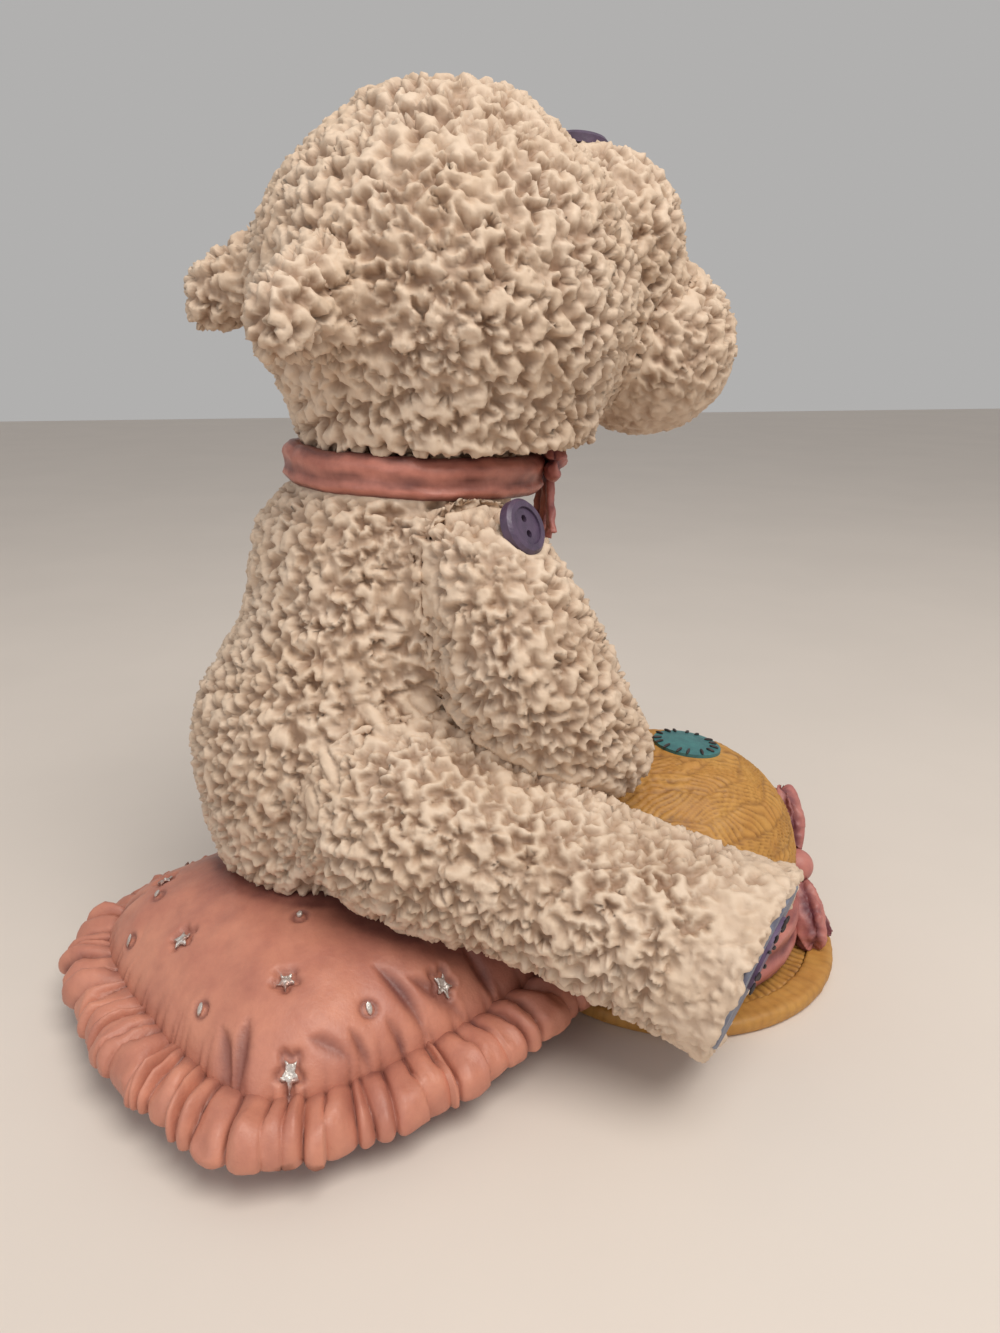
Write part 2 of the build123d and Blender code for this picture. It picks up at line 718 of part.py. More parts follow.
def hollow_rays(start, end, radius):
    # From inside the piece: rows round a line and over its two round ends, a pitch apart
    axis = (end - start).normalized()
    across = Plane(origin=start, z_dir=axis)
    length = (end - start).length
    quarter = radius * math.pi / 2
    row_count = round((2 * quarter + length) / (hollow_pitch * hollow_row_share))
    for row in range(row_count):
        way = (2 * quarter + length) * (row + 0.5) / row_count
        along = min(max(way - quarter, 0), length)
        lean = (way - quarter - along) / radius
        ring = radius * math.cos(lean)
        ray_count = max(1, round(2 * math.pi * ring / hollow_pitch))
        for step in range(ray_count):
            stray = hollow_stray_share * hollow_dice.uniform(-1, 1)
            turn = 2 * math.pi * (step + (row % 2) / 2 + stray) / ray_count
            lift = lean + hollow_stray_share * hollow_dice.uniform(-1, 1) * hollow_pitch / radius
            outward = across.x_dir * math.cos(turn) + across.y_dir * math.sin(turn)
            yield start + axis * along, outward * math.cos(lift) + axis * math.sin(lift)


def surface_hit(piece, origin, direction, reach):
    # The outermost place where a ray from inside leaves the piece, and the way out there
    hits = piece.find_intersection_points(Axis(origin, direction))
    ahead = [(point, normal) for point, normal in hits if (point - origin).dot(direction) > 0]
    if not ahead:
        return None
    point, normal = max(ahead, key=lambda hit: (hit[0] - origin).dot(direction))
    if (point - origin).length > reach:
        return None
    return point, normal if normal.dot(direction) > 0 else -normal


def is_clear(name, point):
    # Whether a hollow at a point stays off every other piece
    reach = hollow_radius * (1 + hollow_size_share) + hollow_clearance
    for other, box in plain_boxes.items():
        if other == name:
            continue
        inside = all(
            low - reach < place < high + reach
            for low, place, high in zip(tuple(box.min), tuple(point), tuple(box.max))
        )
        if inside and plain_pieces[other].distance_to(point) < reach:
            return False
    return True


def hollow_tool(point, normal):
    # Its base stands as far above the surface as its tip lies under it
    size = 1 + hollow_size_share * hollow_dice.uniform(-1, 1)
    outline = RegularPolygon(2 * hollow_radius * size, hollow_dice.choice(hollow_sides))
    turn = math.degrees(hollow_dice.uniform(0, 2 * math.pi))
    base = Plane(origin=point + normal * hollow_depth, z_dir=normal) * Rot(0, 0, turn) * outline
    tip = point - normal * hollow_depth
    sides = [Face(Wire.make_polygon([edge @ 0, edge @ 1, tip])) for edge in base.edges()]
    return Solid(Shell([base.face(), *sides]))


def hollowed(name, piece, start, end, radius):
    tools = []
    for origin, direction in hollow_rays(start, end, radius):
        hit = surface_hit(piece, origin, direction, radius * hollow_reach_share)
        if hit and is_clear(name, hit[0]):
            tools.append(hollow_tool(*hit))
    return largest(piece.cut(*tools))


def placed(*local_places):
    return [(head_place * Pos(*place)).position for place in local_places]


muzzle_line = muzzle_half_width - muzzle_radius
brow_line = brow_half_width - brow_half_depth
head_core = placed(*[(0, 0, head_height * share) for share in head_core_shares])
brow_core = placed((-brow_line, *brow_centre[1:]), (brow_line, *brow_centre[1:]))
muzzle_core = placed((-muzzle_line, *muzzle_centre[1:]), (muzzle_line, *muzzle_centre[1:]))
torso_core = [Vector(0, neck_y / 2, torso_base + torso_height * share) for share in torso_core_shares]
head = hollowed("head", largest(pieces["head"]), *head_core, head_radius)
pieces["head"] = hollowed("head", head, *brow_core, brow_half_depth)
pieces["muzzle"] = hollowed("muzzle", largest(pieces["muzzle"]), *muzzle_core, muzzle_radius)
pieces["torso"] = hollowed("torso", torso, *torso_core, torso_half_width)
both_sides("leg", hollowed("leg_right", leg, leg_points[0], leg_points[-1], leg_radius))

for name, piece in pieces.items():
    export_step(piece, "parts/" + name + ".step")
    print(name, round(piece.volume, 1))
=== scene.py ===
# Seated toy lamb in painted resin, on a ruffled pillow with a straw hat between its feet.
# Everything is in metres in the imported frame: the lamb faces -Y and its right side is -X.
import itertools
import math
import random

import bmesh
import bpy
import numpy as np
from mathutils import Matrix, Vector, bvhtree, kdtree, noise


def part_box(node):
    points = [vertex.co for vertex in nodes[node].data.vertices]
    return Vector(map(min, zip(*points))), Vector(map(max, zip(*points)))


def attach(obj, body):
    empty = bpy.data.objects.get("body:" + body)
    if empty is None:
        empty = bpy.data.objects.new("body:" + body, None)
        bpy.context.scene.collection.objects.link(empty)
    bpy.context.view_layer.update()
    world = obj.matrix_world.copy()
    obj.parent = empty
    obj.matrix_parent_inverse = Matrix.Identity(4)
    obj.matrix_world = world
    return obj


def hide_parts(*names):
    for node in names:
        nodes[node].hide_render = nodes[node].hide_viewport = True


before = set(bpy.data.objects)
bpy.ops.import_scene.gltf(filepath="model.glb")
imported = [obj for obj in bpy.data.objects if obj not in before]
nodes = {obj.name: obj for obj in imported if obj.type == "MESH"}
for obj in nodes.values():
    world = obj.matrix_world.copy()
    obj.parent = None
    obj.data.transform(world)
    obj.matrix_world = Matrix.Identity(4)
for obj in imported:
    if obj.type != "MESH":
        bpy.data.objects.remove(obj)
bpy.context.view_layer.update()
mm = 0.001
quickTimes = 1
print("frame loaded:", len(nodes), "nodes")


# Small tools that every piece uses

def smoothStep(low, high, values):
    share = np.clip((values - low) / (high - low), 0.0, 1.0)
    return share * share * (3 - 2 * share)


def addToScene(thing):
    bpy.context.scene.collection.objects.link(thing)


def toMesh(bm, name):
    mesh = bpy.data.meshes.new(name)
    bm.to_mesh(mesh)
    bm.free()
    return mesh


def setInputs(node, values):
    for name, value in values.items():
        node.inputs[name].default_value = value


def pointsOf(mesh):
    flat = np.empty(len(mesh.vertices) * 3)
    mesh.vertices.foreach_get("co", flat)
    return flat.reshape(-1, 3)


def normalsOf(mesh):
    flat = np.empty(len(mesh.vertices) * 3)
    mesh.vertex_normals.foreach_get("vector", flat)
    return flat.reshape(-1, 3)


def movePoints(mesh, points):
    mesh.vertices.foreach_set("co", np.ascontiguousarray(points).ravel())
    mesh.update()


def paintAttribute(mesh, name, values):
    layer = mesh.attributes.new(name, "FLOAT", "POINT")
    layer.data.foreach_set("value", np.ascontiguousarray(values, dtype=np.float32))


def noiseField(points, size, octaves=3, seed=0.0):
    # Smooth fractal noise, about -1 to 1, with lumps of the given size
    shift = Vector((seed, seed * 1.7, seed * 0.6))
    return np.array([
        noise.fractal(Vector(point) / size + shift, 0.7, 2.0, octaves) for point in points
    ])


def joinedMesh(names):
    bm = bmesh.new()
    for name in names:
        bm.from_mesh(nodes[name].data)
    bmesh.ops.remove_doubles(bm, verts=bm.verts, dist=0.002 * mm)
    return toMesh(bm, "joined")


def evenSkin(mesh, voxel, smoothing):
    # An even mesh over a closed one, for shapes that are then worked
    source = bpy.data.objects.new("skinSource", mesh)
    addToScene(source)
    remesh = source.modifiers.new("voxels", "REMESH")
    remesh.mode = "VOXEL"
    remesh.voxel_size = voxel
    depsgraph = bpy.context.evaluated_depsgraph_get()
    skin = bpy.data.meshes.new_from_object(source.evaluated_get(depsgraph))
    bpy.data.objects.remove(source)
    bm = bmesh.new()
    bm.from_mesh(skin)
    for _ in range(smoothing):
        bmesh.ops.smooth_vert(
            bm, verts=bm.verts, factor=0.5, use_axis_x=True, use_axis_y=True, use_axis_z=True,
        )
    bm.to_mesh(skin)
    bm.free()
    return skin


def voxelSkin(node, voxel, smoothing):
    return evenSkin(joinedMesh((node,)), voxel, smoothing)


def surfaceTree(mesh):
    bm = bmesh.new()
    bm.from_mesh(mesh)
    tree = bvhtree.BVHTree.FromBMesh(bm)
    bm.free()
    return tree


surfaceTrees = {}


def treeOf(node):
    if node not in surfaceTrees:
        surfaceTrees[node] = surfaceTree(nodes[node].data)
    return surfaceTrees[node]


def gapTo(points, node, reach):
    # Signed distance from each point to a node's surface, no further than reach
    tree = treeOf(node)
    low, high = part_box(node)
    gaps = np.full(len(points), reach)
    inside = np.all((points > np.array(low) - reach) & (points < np.array(high) + reach), axis=1)
    for index in np.nonzero(inside)[0]:
        point = Vector(points[index])
        place, normal, _, distance = tree.find_nearest(point, reach)
        if place is not None:
            gaps[index] = distance if (point - place).dot(normal) > 0 else -distance
    return gaps


def signedPower(values, power):
    return np.sign(values) * np.abs(values) ** power


def roundAxis(radius, angle, height):
    return np.stack([radius * np.cos(angle), radius * np.sin(angle), height], axis=1)


spunRadius = 3   # of a spun ring, whose section has a radius of 1


def spunRing(name, sides, steps):
    # A round section spun about Z, whose points are then moved to their real places
    bm = bmesh.new()
    ring = bmesh.ops.create_circle(bm, segments=sides, radius=1.0)
    upright = Matrix.Rotation(math.pi / 2, 3, "X")
    bmesh.ops.rotate(bm, verts=ring["verts"], cent=(0, 0, 0), matrix=upright)
    bmesh.ops.translate(bm, verts=ring["verts"], vec=(spunRadius, 0, 0))
    bmesh.ops.spin(
        bm, geom=bm.edges[:], cent=(0, 0, 0), axis=(0, 0, 1), angle=2 * math.pi,
        steps=steps, use_merge=True,
    )
    bmesh.ops.recalc_face_normals(bm, faces=bm.faces)
    return toMesh(bm, name)


def spunPlaces(mesh):
    # The angle of each point of a spun ring, and its place outward and upward in the section
    points = pointsOf(mesh)
    angle = np.arctan2(points[:, 1], points[:, 0])
    return angle, np.hypot(points[:, 0], points[:, 1]) - spunRadius, points[:, 2]


def addPiece(name, mesh, material, replaced=()):
    mesh.polygons.foreach_set("use_smooth", np.ones(len(mesh.polygons), dtype=bool))
    mesh.materials.clear()
    mesh.materials.append(material)
    piece = bpy.data.objects.new(name, mesh)
    addToScene(piece)
    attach(piece, "root")
    if replaced:
        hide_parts(*replaced)
    return piece


def readSkin(node, values):
    mesh = voxelSkin(node, values["voxel"] * quickTimes, values["smoothing"])
    return mesh, pointsOf(mesh), normalsOf(mesh)


def dress(name, mesh, points, wash, cover, material, node):
    # Moves the points, paints the darkening where it covers (painted shade on most pieces, a real
    # wash or wear on some), and puts the piece in its node's place
    movePoints(mesh, points)
    paintAttribute(mesh, "wash", np.clip(wash, 0, 1) * cover)
    addPiece(name, mesh, material, (node,))


# Paint: matt resin, mottled and grained, darkened towards a second colour where a per-point
# attribute says. On most pieces that darkening is painted shade in hollows, creases and folds; on
# the wool it is also the real brown wash, and on the silver trim worn paint

def link(tree, source, target):
    tree.links.new(source, target)


def noiseNode(tree, place, size, detail, roughness):
    texture = tree.nodes.new("ShaderNodeTexNoise")
    setInputs(texture, {"Scale": 1 / size, "Detail": detail, "Roughness": roughness})
    link(tree, place.outputs["Object"], texture.inputs["Vector"])
    return texture


def spreadNode(tree, texture, edges, least):
    # Noise keeps near its middle, so the part between the edges is spread out
    spread = tree.nodes.new("ShaderNodeMapRange")
    setInputs(spread, {"From Min": edges[0], "From Max": edges[1], "To Min": least})
    link(tree, texture.outputs["Fac"], spread.inputs["Value"])
    return spread


mixing = {
    "coatRoughness": 0.35,
    "mottleDetail": 4, "mottleRoughness": 0.6, "mottleEdges": (0.35, 0.65),
    "toneAndShadeDetail": 3, "toneAndShadeRoughness": 0.5, "toneAndShadeEdges": (0.3, 0.7),
    "grainDetail": 5, "grainRoughness": 0.65, "grainHeight": 0.5,
}


usualPaint = {
    "mottleSize": 2 * mm, "toneAndShadeSize": 1 * mm, "toneAndShadeLeast": 0.6, "roughness": 0.55,
    "grain": 0.3, "grainSize": 0.4 * mm, "coat": 0.0, "metallic": 0.0,
}


def painted(name, paint):
    paint = {**usualPaint, **paint}
    material = bpy.data.materials.new(name)
    material.use_nodes = True
    tree = material.node_tree
    shader = tree.nodes["Principled BSDF"]
    setInputs(shader, {
        "Roughness": paint["roughness"], "Metallic": paint["metallic"],
        "Coat Weight": paint["coat"], "Coat Roughness": mixing["coatRoughness"],
    })
    place = tree.nodes.new("ShaderNodeTexCoord")

    mottle = noiseNode(
        tree, place, paint["mottleSize"], mixing["mottleDetail"], mixing["mottleRoughness"],
    )
    spread = spreadNode(tree, mottle, mixing["mottleEdges"], 0.0)
    ground = tree.nodes.new("ShaderNodeMix")
    ground.data_type = "RGBA"
    ground.inputs["A"].default_value = (*paint["colour"], 1)
    ground.inputs["B"].default_value = (*paint["mottle"], 1)
    link(tree, spread.outputs["Result"], ground.inputs["Factor"])

    # The per-point darkening: painted shade, and on some pieces a real wash or wear, made patchy
    # by noise
    toneAndShadeInput = tree.nodes.new("ShaderNodeAttribute")
    toneAndShadeInput.attribute_name = "wash"
    patchyNoise = noiseNode(
        tree, place, paint["toneAndShadeSize"], mixing["toneAndShadeDetail"], mixing["toneAndShadeRoughness"],
    )
    uneven = spreadNode(tree, patchyNoise, mixing["toneAndShadeEdges"], paint["toneAndShadeLeast"])
    amount = tree.nodes.new("ShaderNodeMath")
    amount.operation = "MULTIPLY"
    link(tree, toneAndShadeInput.outputs["Fac"], amount.inputs[0])
    link(tree, uneven.outputs["Result"], amount.inputs[1])
    layered = tree.nodes.new("ShaderNodeMix")
    layered.data_type = "RGBA"
    layered.inputs["B"].default_value = (*paint["wash"], 1)
    link(tree, amount.outputs["Value"], layered.inputs["Factor"])
    link(tree, ground.outputs["Result"], layered.inputs["A"])
    link(tree, layered.outputs["Result"], shader.inputs["Base Color"])

    grain = noiseNode(
        tree, place, paint["grainSize"], mixing["grainDetail"], mixing["grainRoughness"],
    )
    bump = tree.nodes.new("ShaderNodeBump")
    depth = paint["grainSize"] * mixing["grainHeight"]
    setInputs(bump, {"Strength": paint["grain"], "Distance": depth})
    link(tree, grain.outputs["Fac"], bump.inputs["Height"])
    link(tree, bump.outputs["Normal"], shader.inputs["Normal"])
    return material


# Wool paint: the second colour is the dark brown of the star pits, the figurine's real wash
# deepened into painted shade
woolPaint = painted("woolPaint", {
    "colour": (0.70, 0.55, 0.42), "mottle": (0.63, 0.475, 0.345), "mottleSize": 7 * mm,
    "wash": (0.25, 0.135, 0.075), "toneAndShadeSize": 5 * mm,
    "roughness": 0.58, "grain": 0.35, "grainSize": 0.35 * mm,
})
# Pillow paint, for the top and the ruffle: the second colour is painted shade
pillowPaint = painted("pillowPaint", {
    "colour": (0.60, 0.25, 0.165), "mottle": (0.47, 0.18, 0.125), "mottleSize": 7 * mm,
    "wash": (0.17, 0.055, 0.045), "toneAndShadeSize": 4 * mm,
    "roughness": 0.45, "grainSize": 0.6 * mm,
})
undersidePaint = painted("undersidePaint", {
    "colour": (0.16, 0.16, 0.25), "mottle": (0.13, 0.10, 0.17), "mottleSize": 6 * mm,
    "wash": (0.05, 0.04, 0.06), "toneAndShadeSize": 4 * mm,
    "grainSize": 0.6 * mm,
})
# Ribbon paints, for the bows and hat ribbon and for the neck ribbon: the second colour is painted
# shade
ribbonPaint = painted("ribbonPaint", {
    "colour": (0.52, 0.20, 0.165), "mottle": (0.42, 0.145, 0.13), "mottleSize": 3 * mm,
    "wash": (0.13, 0.035, 0.05), "toneAndShadeSize": 3 * mm,
    "roughness": 0.45, "grainSize": 0.5 * mm,
})
neckRibbonPaint = painted("neckRibbonPaint", {
    "colour": (0.54, 0.205, 0.15), "mottle": (0.42, 0.145, 0.105), "mottleSize": 3 * mm,
    "wash": (0.11, 0.035, 0.03), "toneAndShadeSize": 3 * mm,
    "roughness": 0.42, "grainSize": 0.5 * mm,
})
# Straw paint: the second colour is painted shade
strawPaint = painted("strawPaint", {
    "colour": (0.56, 0.29, 0.068), "mottle": (0.48, 0.225, 0.048), "mottleSize": 4 * mm,
    "wash": (0.15, 0.055, 0.012), "toneAndShadeSize": 2.5 * mm, "toneAndShadeLeast": 0.4,
})
buttonPaint = painted("buttonPaint", {
    "colour": (0.060, 0.040, 0.075), "mottle": (0.095, 0.06, 0.11), "mottleSize": 1.2 * mm,
    "wash": (0.012, 0.008, 0.014), "toneAndShadeLeast": 0.8,
    "roughness": 0.4, "grain": 0.35, "coat": 0.15,
})
tealPaint = painted("tealPaint", {
    "colour": (0.055, 0.20, 0.20), "mottle": (0.04, 0.14, 0.15),
    "wash": (0.01, 0.03, 0.03), "toneAndShadeLeast": 0.8,
    "roughness": 0.5,
})
stitchPaint = painted("stitchPaint", {
    "colour": (0.03, 0.022, 0.022), "mottle": (0.05, 0.035, 0.035), "mottleSize": 1 * mm,
    "wash": (0.01, 0.01, 0.01), "toneAndShadeLeast": 0.8,
    "grainSize": 0.3 * mm,
})
solePaint = painted("solePaint", {
    "colour": (0.22, 0.25, 0.32), "mottle": (0.12, 0.12, 0.18),
    "wash": (0.07, 0.06, 0.08), "toneAndShadeSize": 2 * mm,
    "grain": 0.4, "grainSize": 0.5 * mm,
})
solePatchPaint = painted("solePatchPaint", {
    "colour": (0.16, 0.10, 0.19), "mottle": (0.12, 0.07, 0.14),
    "wash": (0.04, 0.02, 0.04), "toneAndShadeLeast": 0.7,
    "grain": 0.35,
})
eyePaint = painted("eyePaint", {
    "colour": (0.008, 0.007, 0.008), "mottle": (0.012, 0.009, 0.009), "mottleSize": 1 * mm,
    "wash": (0.004, 0.004, 0.004), "toneAndShadeLeast": 0.8,
    "roughness": 0.12, "grain": 0.02, "grainSize": 0.5 * mm, "coat": 0.6,
})
silverPaint = painted("silverPaint", {
    "colour": (0.72, 0.68, 0.64), "mottle": (0.50, 0.44, 0.40), "mottleSize": 0.5 * mm,
    "wash": (0.40, 0.16, 0.11), "toneAndShadeSize": 0.5 * mm, "toneAndShadeLeast": 0.5,
    "roughness": 0.3, "grain": 0.5, "grainSize": 0.3 * mm, "metallic": 0.6,
})
print("paints mixed")


# Wool: an even skin over each node, punched all over with small stars and roughened with burrs

wool = {
    "coarseVoxel": 0.55 * mm, "coarseSmoothing": 2, "voxel": 0.335 * mm,
   
    "smoothing": 3, "starRadius": 1.18 * mm,
    "starRadii": (0.75, 1.25),     # least and most, times the radius
    "starSpacing": 1.85 * mm, "starDepth": 1.2 * mm, "starDepths": (0.6, 1.15),
    "starArms": (3, 3, 4, 4, 5), "starReach": 2.4, "starFacing": (0.1, 0.5),
    "pitEdges": (0.25, 1.05), "armShare": 0.42, "leanShare": 0.15, "longest": 1.55,
    "warpSize": 2.0 * mm, "warpReach": 0.42 * mm, "rimShare": 0.2, "rimPlace": 1.2,
    "rimWidth": 0.25, "burrSize": 1.8 * mm, "burrHeight": 0.26 * mm,
    "crumbSize": 0.65 * mm, "crumbHeight": 0.07 * mm,
    "calmest": 0.25,               # roughness left where the stars fade out
    "rise": -0.05 * mm, "seed": 11,
}
# Darker in the star pits: the real brown wash with painted shade added; a little lighter on the
# raised crumbs
woolWashAndShade = {"fromDepth": 1.35, "from": 0.12, "crumbs": 0.15, "most": 0.9}
# The smooth body under the wool, and how far the skin is filled out to it at the joins
fill = {
    "massVoxel": 0.8 * mm, "massRounds": 100, "fullReach": 0.25,
    "depths": (3.5 * mm, 6.0 * mm), "agreement": (0.0, 0.45),
    "ribbonFade": 1.5 * mm, "seamSwell": 0.7 * mm, "seamGaps": (0.4 * mm, 1.2 * mm),
    "seamFacing": (0.4, 0.85), "coveredGap": 0.4 * mm, "coveredDepth": 0.6 * mm,
    "shoulderDrop": 0.55,
    "shoulderStart": 2.5 * mm,     # below the ribbon's lower edge
}
# Oval prints in the hip's wool: place in millimetres, and the turn of the long side
hipPrints = (
    ((-16.2, -10.3, 42.4), 0.5), ((-17.8, -4.5, 41.7), 0.9),
    ((-19.5, 1.3, 37.2), 1.15), ((-21.1, 3.4, 33.0), 1.6),
)
hipPrint = {
    "length": 1.5 * mm, "width": 0.62 * mm, "reach": 4 * mm, "clearing": (1.1, 2.2),
    "groove": 0.55 * mm, "groovePlace": 1.25, "grooveWidth": 0.3,
}
foot = {
    "soleTurn": math.radians(42.7), "soleTip": math.radians(16),
    "rimPush": 0.9 * mm, "rimFacing": (0.2, 0.8), "rimReach": 6 * mm,
    "rimFade": 2.5 * mm, "tuftSize": 2.4 * mm, "tuftShare": 0.55, "tuftSpread": 0.9,
    "wornStrength": 0.40, "wornReach": 16 * mm, "wornEdges": (1.5 * mm, 9 * mm),
    "patchSize": 6 * mm, "patchReach": 4 * mm,
}
muzzleWear = {"strength": 0.35, "heights": (0.1, 0.55)}


def massOf(names):
    # One smooth body over several nodes with their creases filled, and the stars punched in it
    tree = surfaceTree(evenSkin(joinedMesh(names), fill["massVoxel"], fill["massRounds"]))
    return {"tree": tree, "stars": [], "cells": {}}


bodyMass = massOf(("torso", "leg_right", "leg_left", "arm_right", "arm_left"))
headMass = massOf(("head", "muzzle", "ear_right", "ear_left"))


def toMass(points, mass):
    # From each point the way out to the smooth body, zero where it is outside, and its facing
    way = np.zeros((len(points), 3))
    facing = np.zeros((len(points), 3))
    for index, point in enumerate(points):
        place, normal, _, _ = mass["tree"].find_nearest(Vector(point))
        facing[index] = normal
        if (Vector(point) - place).dot(normal) < 0:
            way[index] = np.array(place) - point
    return way, facing


def fillCreases(mesh, mass, joins, ownShare):
    # Bring the skin out to the smooth body near the neighbours that the wool runs on to
    points = pointsOf(mesh)
    normals = normalsOf(mesh)
    weight = np.full(len(points), ownShare)
    swell = np.zeros(len(points))
    for other, share, reach in joins:
        gaps = gapTo(points, other, reach)
        near = 1 - smoothStep(fill["fullReach"] * reach, reach, gaps)
        weight = np.maximum(weight, share * near)
        seam = 1 - smoothStep(*fill["seamGaps"], gaps)
        swell = np.maximum(swell, share * fill["seamSwell"] * seam)
    way, facing = toMass(points, mass)
    depth = np.linalg.norm(way, axis=1)
    agree = np.sum(way * normals, axis=1) / np.maximum(depth, 0.001 * mm)
    weight = weight * (1 - smoothStep(*fill["depths"], depth))
    weight = weight * smoothStep(*fill["agreement"], agree)
    swell = swell * (1 - smoothStep(*fill["seamFacing"], np.sum(normals * facing, axis=1)))
    if mass is bodyMass:
        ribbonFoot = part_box("neck_ribbon")[0][2]
        below = 1 - smoothStep(ribbonFoot - fill["ribbonFade"], ribbonFoot, points[:, 2])
        weight = weight * below
    movePoints(mesh, points + way * weight[:, None] + normals * swell[:, None])


def isCrowded(place, mass):
    spacing = wool["starSpacing"]
    cell = tuple(np.floor(place / spacing).astype(int))
    for dx, dy, dz in itertools.product((-1, 0, 1), repeat=3):
        for other in mass["cells"].get((cell[0] + dx, cell[1] + dy, cell[2] + dz), ()):
            if np.dot(place - other, place - other) < spacing * spacing:
                return True
    mass["cells"].setdefault(cell, []).append(place)
    return False


def scatterStars(points, normals, isOpen, mass, dice):
    # New stars at random places of the open skin, none nearer to another than the spacing
    order = [int(index) for index in np.nonzero(isOpen)[0]]
    dice.shuffle(order)
    for index in order:
        if not isCrowded(points[index], mass):
            mass["stars"].append({
                "place": points[index],
                "normal": Vector(normals[index]),
                "size": wool["starRadius"] * dice.uniform(*wool["starRadii"]),
                "depth": wool["starDepth"] * dice.uniform(*wool["starDepths"]),
                "long": dice.uniform(1.0, wool["longest"]),
                "arms": dice.choice(wool["starArms"]),
                "turn": dice.uniform(0, 2 * math.pi),
                "swing": dice.uniform(0, 2 * math.pi),
            })


def punchStars(points, normals, mass, strength):
    # Depth of the star-shaped pits, and height of the rims that the tool pushed up around them
    warp = [noiseField(points, wool["warpSize"], 2, 20.0 + axis) for axis in range(3)]
    bent = points + wool["warpReach"] * np.stack(warp, axis=1)
    tree = kdtree.KDTree(len(points))
    for index, point in enumerate(points):
        tree.insert(point, index)
    tree.balance()
    pit = np.zeros(len(points))
    rim = np.zeros(len(points))
    for star in mass["stars"]:
        found = tree.find_range(star["place"], star["size"] * wool["starReach"])
        if not found:
            continue
        near = np.array([item[1] for item in found])
        normal = star["normal"]
        along = Matrix.Rotation(star["swing"], 3, normal) @ normal.orthogonal().normalized()
        across = normal.cross(along)
        local = bent[near] - star["place"]
        first = local @ np.array(along) / star["long"]
        second = local @ np.array(across)
        angle = np.arctan2(second, first) + star["turn"]
        arms = wool["armShare"] * np.cos(star["arms"] * angle)
        outline = 1 + arms + wool["leanShare"] * np.cos(angle - star["swing"])
        share = np.hypot(first, second) / (star["size"] * outline)
        facing = smoothStep(*wool["starFacing"], normals[near] @ np.array(normal))
        facing = facing * strength[near] * star["depth"]
        pit[near] = np.maximum(pit[near], facing * (1 - smoothStep(*wool["pitEdges"], share)))
        ridge = np.exp(-((share - wool["rimPlace"]) / wool["rimWidth"]) ** 2)
        rim[near] = np.maximum(rim[near], wool["rimShare"] * facing * ridge)
    return pit, rim


def pressPrints(points, pit, rim):
    # Each print is a smooth oval tab with a groove round it
    for place, turn in hipPrints:
        local = points - np.array(place) * mm
        along = local[:, 1] * math.cos(turn) + local[:, 2] * math.sin(turn)
        across = local[:, 2] * math.cos(turn) - local[:, 1] * math.sin(turn)
        share = np.hypot(along / hipPrint["length"], across / hipPrint["width"])
        share = np.where(np.abs(local[:, 0]) < hipPrint["reach"], share, 9.0)
        outside = smoothStep(*hipPrint["clearing"], share)
        pit *= outside
        rim *= outside
        ring = np.exp(-((share - hipPrint["groovePlace"]) / hipPrint["grooveWidth"]) ** 2)
        pit += hipPrint["groove"] * ring


def lowerShoulder(mesh):
    # The wool of the shoulder stays under the neck ribbon
    points = pointsOf(mesh)
    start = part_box("neck_ribbon")[0][2] - fill["shoulderStart"]
    points[:, 2] -= fill["shoulderDrop"] * np.clip(points[:, 2] - start, 0, None)
    movePoints(mesh, points)


def soleWay(side):
    # The way that a sole faces
    sign = -1 if side == "right" else 1
    turn, tip = foot["soleTurn"], foot["soleTip"]
    return Vector((sign * math.sin(turn), -math.cos(turn), -math.tan(tip))).normalized()


def raggedRim(mesh, side):
    # Tufts at the foot's end that stand over the edge of the sole pad
    points = pointsOf(mesh)
    way = np.array(soleWay(side))
    facing = smoothStep(*foot["rimFacing"], normalsOf(mesh) @ way)
    near = np.exp(-(gapTo(points, "sole_pad_" + side, foot["rimReach"]) / foot["rimFade"]) ** 2)
    tufts = foot["tuftSpread"] * noiseField(points, foot["tuftSize"], 2, 14.0)
    tufts = np.clip(foot["tuftShare"] + tufts, 0, 1)
    movePoints(mesh, points + way * (foot["rimPush"] * facing * near * tufts)[:, None])


